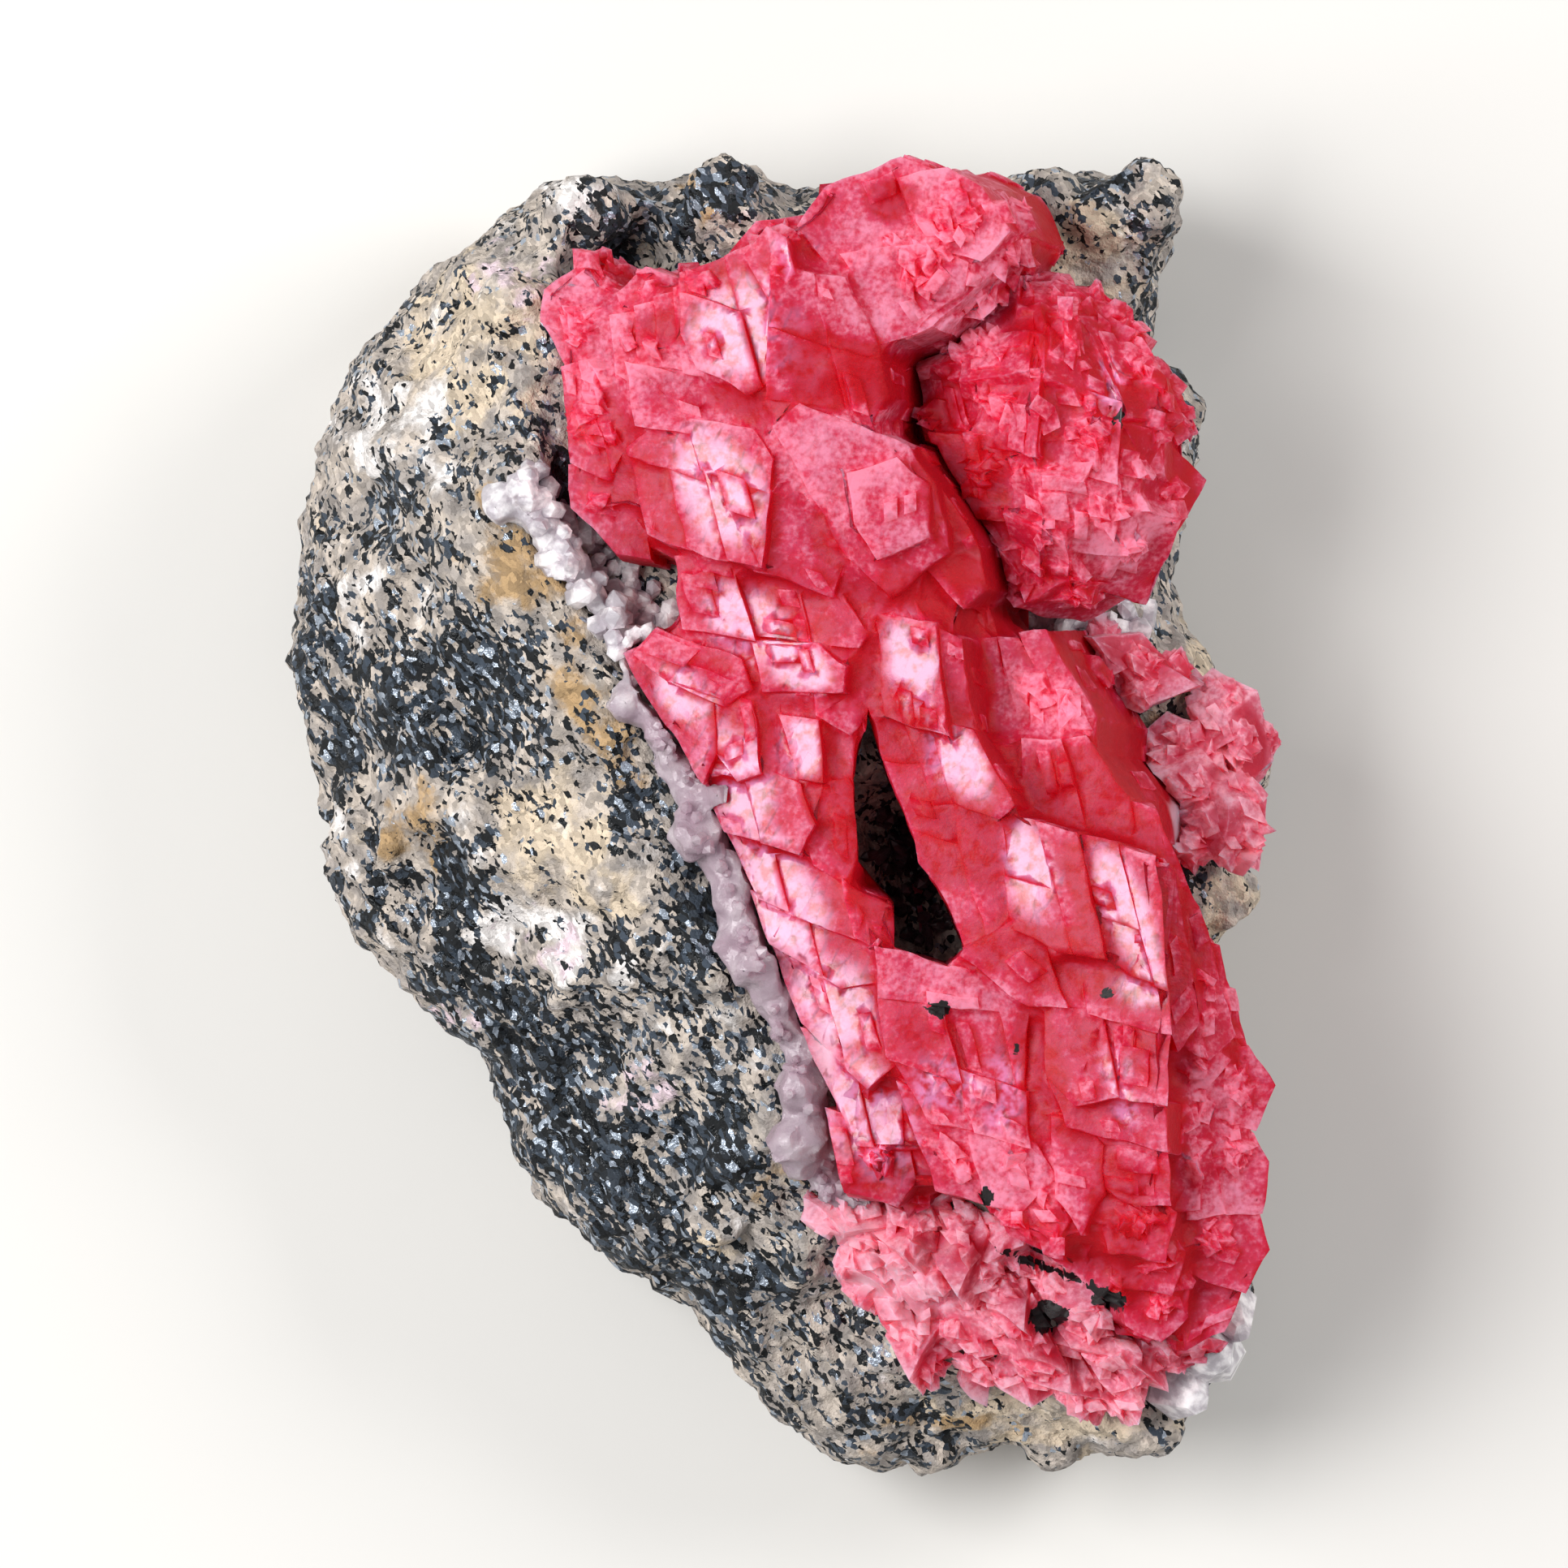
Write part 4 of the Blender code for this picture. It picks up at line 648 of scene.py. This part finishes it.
OCHRE_PLACES = (
    (-21.3, 20.4, 3.0, 5.4, -10), (-16.6, 12.6, 10.5, 2.3, -64), (-13.4, 6.6, 2.6, 4.6, 20), (0.2, -25.0, 2.8, 3.2, 20),
    (-28.3, -1.0, 2.6, 4.2, 20), (28.6, 5.6, 3.0, 3.4, 0), (12.0, -46.3, 7.0, 1.6, 0), (-7.0, 43.6, 1.8, 1.2, 0),
    (-8.0, 47.2, 2.2, 1.4, 0), (-3.6, 46.6, 2.0, 1.6, 0),
)
PINK_PLACES = ((-20.5, 40.4, 2.9, 2.7, 0), (-10.8, -21.0, 2.6, 2.2, 0), (-26.0, -14.5, 1.2, 3.4, 40), (-18.0, -10.5, 3.4, 3.0, 0))
LAYERED_PLACES = (
    (0.0, -43.5, 6.0, 3.4, -50), (-35.0, 12.0, 2.6, 9.0, 0), (-32.5, -3.0, 4.6, 8.0, 20), (-21.0, -19.0, 14.0, 5.6, -55), (-9.0, -34.0, 11.0, 5.0, -52),
)
LAYER_PITCH = 1.5                            # mm between the dark layers of the lower left side
ACROSS_LAYERS = np.array([-0.80, -0.60, 0.0])
ALONG_LAYERS = (0.60, -0.80, 0.0)


def build_rock():
    """The matrix: grains, pits and layers pushed out of an even fine mesh, with its make-up kept per vertex."""
    piece = own_copy("matrix_rock", "matrix_rock_grain")
    mesh = piece.modifiers.new("even mesh", "REMESH")
    mesh.mode = "VOXEL"
    mesh.voxel_size = 0.52 * MM
    settle(piece)
    shade(piece, True)
    places = points_of(piece).astype(np.float64) / MM
    normals = normals_of(piece).astype(np.float64)
    broad = wander(places, 6.0, 1)
    lump = wander(places, 2.6, 2)
    grain = wander(places, 1.15, 3)
    fine = wander(places, 0.6, 4)
    places_of_kinds = places + 3.0 * wander(places, 5.0, 5) + 1.9 * wander(places, 1.9, 6)
    layered = zone(LAYERED_PLACES, places)
    bend = places @ ACROSS_LAYERS + 0.9 * broad[:, 0] + 0.5 * lump[:, 0]
    layers = np.sin(2.0 * math.pi * bend / LAYER_PITCH)
    dark = zone(DARK_PLACES, places_of_kinds)
    grey = zone(GREY_PLACES, places_of_kinds)
    white = zone(WHITE_PLACES, places_of_kinds)
    cream = zone(CREAM_PLACES, places_of_kinds)
    ochre = zone(OCHRE_PLACES, places_of_kinds)
    pink = zone(PINK_PLACES, places_of_kinds)
    darkness = 0.42 + 0.48 * dark + 0.20 * grey - 0.22 * np.maximum(white, cream) - 0.12 * np.maximum(ochre, pink)
    darkness += 0.30 * broad[:, 1] + 0.34 * lump[:, 1] + 0.26 * grain[:, 1] + 0.30 * layered * layers
    push = 0.62 * lump[:, 2] + 0.42 * grain[:, 2] + 0.15 * fine[:, 2] + 0.25 * layered * layers
    push += 0.35 * (white - 0.5 * dark) - 0.55 * eased(grain[:, 0], 0.28, 0.5) * eased(lump[:, 1], 0.0, 0.3)
    push *= eased(places[:, 2], 0.0, 0.6)
    moved = places + normals * push[:, None]
    moved[:, 2] = np.maximum(moved[:, 2], 0.0)
    move_points(piece, moved)
    for name, values in (
        ("darkness", darkness), ("white", 0.62 * white + 0.8 * lump[:, 0]), ("cream", 0.7 * cream + 0.7 * lump[:, 1]),
        ("ochre", 0.8 * ochre + 0.6 * lump[:, 2]), ("pink", 0.6 * pink + 0.5 * grain[:, 0]),
    ):
        store(piece, name, values)
    print("rock", len(piece.data.polygons), "faces")
    stands_for(piece, "matrix_rock", rock_finish())
    return piece


def rock_finish():
    """Matrix rock: granular altered rock with dark metallic sulphide grains, broken by hand and left raw."""
    finish = Finish("matrix rock, naturally broken")
    place = finish.place()
    waver = finish.add("TexNoise", None, "Color", Vector=place, Scale=1 / (0.5 * MM), Detail=1.0)
    place = finish.add("VectorMath", {"operation": "MULTIPLY_ADD"}, i0=waver, i1=(0.3 * MM,) * 3, i2=place)
    # Grains and streaks are drawn out along the layers.
    run = finish.add("VectorMath", {"operation": "DOT_PRODUCT"}, "Value", i0=place, i1=ALONG_LAYERS)
    drawn = [finish.add("VectorMath", {"operation": "SCALE"}, i0=ALONG_LAYERS, Scale=finish.maths("MULTIPLY", run, share))
             for share in (-0.4, -0.75)]
    grain_place, streak_place = [finish.add("VectorMath", {"operation": "ADD"}, i0=place, i1=part) for part in drawn]
    # Grains a third to half a millimetre across, each with its own tone.
    chance = finish.cells(0.40, "F1", "Color", grain_place)
    which, tone, gleam = finish.add("SeparateColor", None, Color=chance).node.outputs
    fine = finish.cloud(0.8, 3.0, roughness=0.65)
    speck = finish.cloud(0.22, 1.0)

    def patch(name, low, high):
        """Where one kind of grain takes over, with a ragged edge."""
        ragged = finish.maths("MULTIPLY", finish.maths("SUBTRACT", fine, 0.5), 0.9)
        return finish.ramp(finish.maths("ADD", finish.attribute(name), ragged), low, high)

    # Pale grains: grey and tan, white, cream, ochre and a little pink, none of them shiny.
    pale = finish.mix(finish.ramp(finish.cloud(2.2, 2.0), 0.4, 0.62), linear("#9c948e"), linear("#c2b6aa"))
    pale = finish.mix(patch("cream", 0.25, 0.75), pale, linear("#cebda6"))
    pale = finish.mix(patch("white", 0.25, 0.8), pale, linear("#e6e1de"))
    pale = finish.mix(patch("ochre", 0.45, 1.0), pale, linear("#ad8f68"))
    pale = finish.mix(patch("pink", 0.4, 0.8), pale, linear("#dcc6ce"))
    shade_of = finish.add("MapRange", None, Value=tone, To_Min=0.62, To_Max=1.22)
    pale = finish.add("VectorMath", {"operation": "SCALE"}, i0=pale, Scale=shade_of)
    # Dark grains: black to blue-grey, a few of them painted bright as painted glints of flat facets facing the light.
    dark = finish.mix(finish.ramp(tone, 0.45, 0.9), linear("#0b0f12"), linear("#3a4450"))
    dark = finish.mix(finish.ramp(gleam, 0.84, 0.92), dark, linear("#a3adba"))
    doubt = finish.maths("MULTIPLY", finish.maths("SUBTRACT", which, 0.5), 0.75)
    doubt = finish.maths("ADD", doubt, finish.maths("MULTIPLY", finish.maths("SUBTRACT", fine, 0.5), 0.9))
    streak = finish.cloud(0.9, 2.0, streak_place)
    doubt = finish.maths("ADD", doubt, finish.maths("MULTIPLY", finish.maths("SUBTRACT", streak, 0.5), 1.1))
    black = finish.ramp(finish.maths("ADD", finish.attribute("darkness"), doubt), 0.50, 0.56)
    colour = finish.mix(black, pale, dark)
    normal = finish.relief((fine, 0.30), (streak, 0.25), (speck, 0.08))
    shine = finish.maths("MULTIPLY", black, finish.ramp(gleam, 0.3, 0.7))
    finish.set(Base_Color=colour, Normal=normal, Metallic=finish.maths("MULTIPLY", shine, 0.5),
               Roughness=finish.add("MapRange", None, Value=shine, To_Min=0.88, To_Max=0.32))
    return finish


# ---------------------------------------------------------------- quartz and the hollow's lining


def quartz_finish(name, clear, cloudy):
    """Milky quartz: cloudy translucent crystals with glassy faces."""
    finish = Finish(name)
    # Light wanders a little under the surface, which gives the grey-lilac milky look.
    body = finish.mix(finish.ramp(finish.cloud(1.6, 4.0), 0.4, 0.65), linear(clear), linear(cloudy))
    body = finish.mix(finish.attribute("stained"), body, linear("#9c8792"))
    finish.set(Base_Color=body, Roughness=0.34, IOR=1.54, Subsurface_Weight=0.6, Subsurface_Radius=(1.0, 0.8, 0.9),
               Subsurface_Scale=1.2 * MM, Normal=finish.relief((finish.cloud(0.6, 3.0), 0.14)))
    return finish


PRISM_FACES = tuple((k, (k + 1) % 6, 6 + (k + 1) % 6, 6 + k) for k in range(6)) + (
    (5, 4, 3, 2, 1, 0),) + tuple((6 + k, 6 + (k + 1) % 6, 12) for k in range(6))


def quartz_crystal(root, direction, radius, length, dice):
    """A six-sided prism with a pointed tip, sizes in mm: its middle, reach, corners and faces."""
    turn = Vector((0, 0, 1)).rotation_difference(direction).to_matrix() @ Matrix.Rotation(dice.uniform(0, math.tau), 3, "Z")
    corners = []
    for height, share in ((-0.6, 0.95), (length * dice.uniform(0.55, 0.75), 1.0)):
        for k in range(6):
            wide = radius * share * dice.uniform(0.85, 1.1)
            corners.append(Vector((wide * math.cos(k * math.tau / 6), wide * math.sin(k * math.tau / 6), height)))
    corners.append(Vector((dice.uniform(-0.3, 0.3) * radius, dice.uniform(-0.3, 0.3) * radius, length)))
    corners = [root + turn @ corner * MM for corner in corners]
    middle = root + direction * 0.5 * length * MM
    return middle, (0.5 * length + radius + 0.7) * MM, corners, PRISM_FACES


def druse(area, ground, pitch, sizes, seed, lean=0.5):
    """Small quartz crystals standing on the ground over an area seen from above."""
    dice = random.Random(seed)
    crystals = []
    outline = [(x, y) for x, y in area]
    low = [min(p[i] for p in outline) for i in (0, 1)]
    high = [max(p[i] for p in outline) for i in (0, 1)]
    for _ in range(int((high[0] - low[0]) * (high[1] - low[1]) / pitch**2)):
        x = dice.uniform(low[0], high[0])
        y = dice.uniform(low[1], high[1])
        size = dice.uniform(*sizes)
        direction = Vector((dice.gauss(0, lean), dice.gauss(0, lean), 1)).normalized()
        if not covers(outline, x, y):
            continue
        hits = [tree.ray_cast(Vector((x, y, 60.0)) * MM, Vector((0, 0, -1)))[0] for tree in ground]
        hits = [hit for hit in hits if hit is not None]
        if hits:
            root = max(hits, key=lambda hit: hit.z)
            crystals.append(quartz_crystal(root, direction, size, size * dice.uniform(1.6, 3.0), dice))
    return crystals


VEIN_DRUSE = ((-21.0, 25.4), (-18.4, 26.4), (-14.0, 21.0), (-9.2, 17.0), (-7.0, 12.0), (-9.0, 9.0), (-12.0, 11.5), (-17.5, 18.5))
VEIN_EDGE = ((-12.6, 12.8), (-10.8, 12.6), (-6.5, 2.0), (-1.0, -12.0), (4.4, -28.0), (3.0, -28.6), (-2.6, -11.0), (-8.4, 3.0))
RIGHT_DRUSE = ((15.0, 13.0), (19.0, 15.8), (24.0, 17.6), (28.0, 17.0), (27.6, 12.6), (24.6, 8.6), (20.8, 9.4), (18.0, 10.6))
HOLLOW = ((6.4, 3.0), (8.8, 0.6), (11.4, -5.0), (13.0, -9.4), (11.0, -11.0), (8.4, -8.8), (6.2, -3.4))


def build_quartz(rock):
    milky = quartz_finish("milky quartz crystals, naturally grown", "#aca6ac", "#efeced")
    hollow = quartz_finish("dark lining of small crystals, naturally grown", "#1d181b", "#5d4a52")
    ground = [BVHTree.FromPolygons([tuple(p) for p in points_of(rock)], [tuple(f.vertices) for f in rock.data.polygons])]
    for node_name, slot_name, finish, plans in (
        ("quartz_vein", "milky_quartz", milky, ((VEIN_DRUSE, 0.95, (0.4, 1.0), 71), (VEIN_EDGE, 1.2, (0.3, 0.55), 72))),
        ("quartz_druse", "milky_quartz", milky, ((RIGHT_DRUSE, 1.1, (0.45, 1.0), 73),)),
        ("quartz_corner", "milky_quartz", milky, ()),
        ("hollow_druse", "dark_druse", hollow, ((HOLLOW, 0.9, (0.3, 0.6), 74),)),
    ):
        piece = own_copy(node_name, node_name + "_crystals")
        if node_name == "quartz_vein":
            close_gaps(piece, 0.3, 0.35, -0.3)
            places = points_of(piece).astype(np.float64) / MM
            move_points(piece, places + 0.45 * wander(places, 1.8, 81) + 0.15 * wander(places, 0.7, 82))
        own = BVHTree.FromPolygons([tuple(p) for p in points_of(piece)], [tuple(f.vertices) for f in piece.data.polygons])
        for area, pitch, sizes, seed in plans:
            work_in(piece, druse(area, ground + [own], pitch, sizes, seed), "UNION")
        crisp(piece, 22)
        if node_name == "quartz_vein":
            places = points_of(piece).astype(np.float64) / MM
            store(piece, "stained", 0.85 * eased(-places[:, 1], -14.0, -6.0) + 0.3 * wander(places, 2.0, 83)[:, 0])
        stands_for(piece, node_name, finish)
        print(node_name, len(piece.data.polygons), "faces")


# ---------------------------------------------------------------- studio


def softbox(name, direction, distance, width, power, focus):
    """A square soft light that faces the specimen from a direction."""
    lamp = bpy.data.lights.new(name, "AREA")
    lamp.size = width
    lamp.energy = power
    holder = bpy.data.objects.new(name, lamp)
    bpy.context.scene.collection.objects.link(holder)
    holder.location = focus + Vector(direction).normalized() * distance
    holder.rotation_euler = (focus - holder.location).to_track_quat("-Z", "Y").to_euler()
    return holder


def build_studio():
    scene = bpy.context.scene
    scene.view_settings.view_transform = "Standard"
    world = bpy.data.worlds.new("studio fill")
    world.use_nodes = True
    world.node_tree.nodes["Background"].inputs["Color"].default_value = linear("#f4f4f6")
    world.node_tree.nodes["Background"].inputs["Strength"].default_value = 0.4
    scene.world = world
    mesh = bpy.data.meshes.new("floor")
    mesh.from_pydata([(-1.5, -1.5, 0), (1.5, -1.5, 0), (1.5, 1.5, 0), (-1.5, 1.5, 0)], [], [(0, 1, 2, 3)])
    floor = bpy.data.objects.new("floor", mesh)
    scene.collection.objects.link(floor)
    paper = Finish("matt paper, pressed")
    paper.set(Base_Color=linear("#dcdad6"), Roughness=0.9)
    mesh.materials.append(paper.material)
    middle = Vector((0.0, 2.36, 25.0)) * MM
    key = softbox("key softbox", (-0.606, 0.095, 0.794), 0.8, 0.5, 7.5, middle)
    fill = softbox("side softbox", (0.75, 0.35, 0.6), 0.9, 0.35, 4.0, middle)
    lens = bpy.data.cameras.new("camera")
    lens.lens = 300
    lens.sensor_width = 36
    lens.clip_start = 0.01
    camera = bpy.data.objects.new("camera", lens)
    scene.collection.objects.link(camera)
    camera.location = (middle.x, middle.y, 1.008)
    scene.camera = camera


rock = build_rock()
build_crystals()
build_quartz(rock)
build_studio()
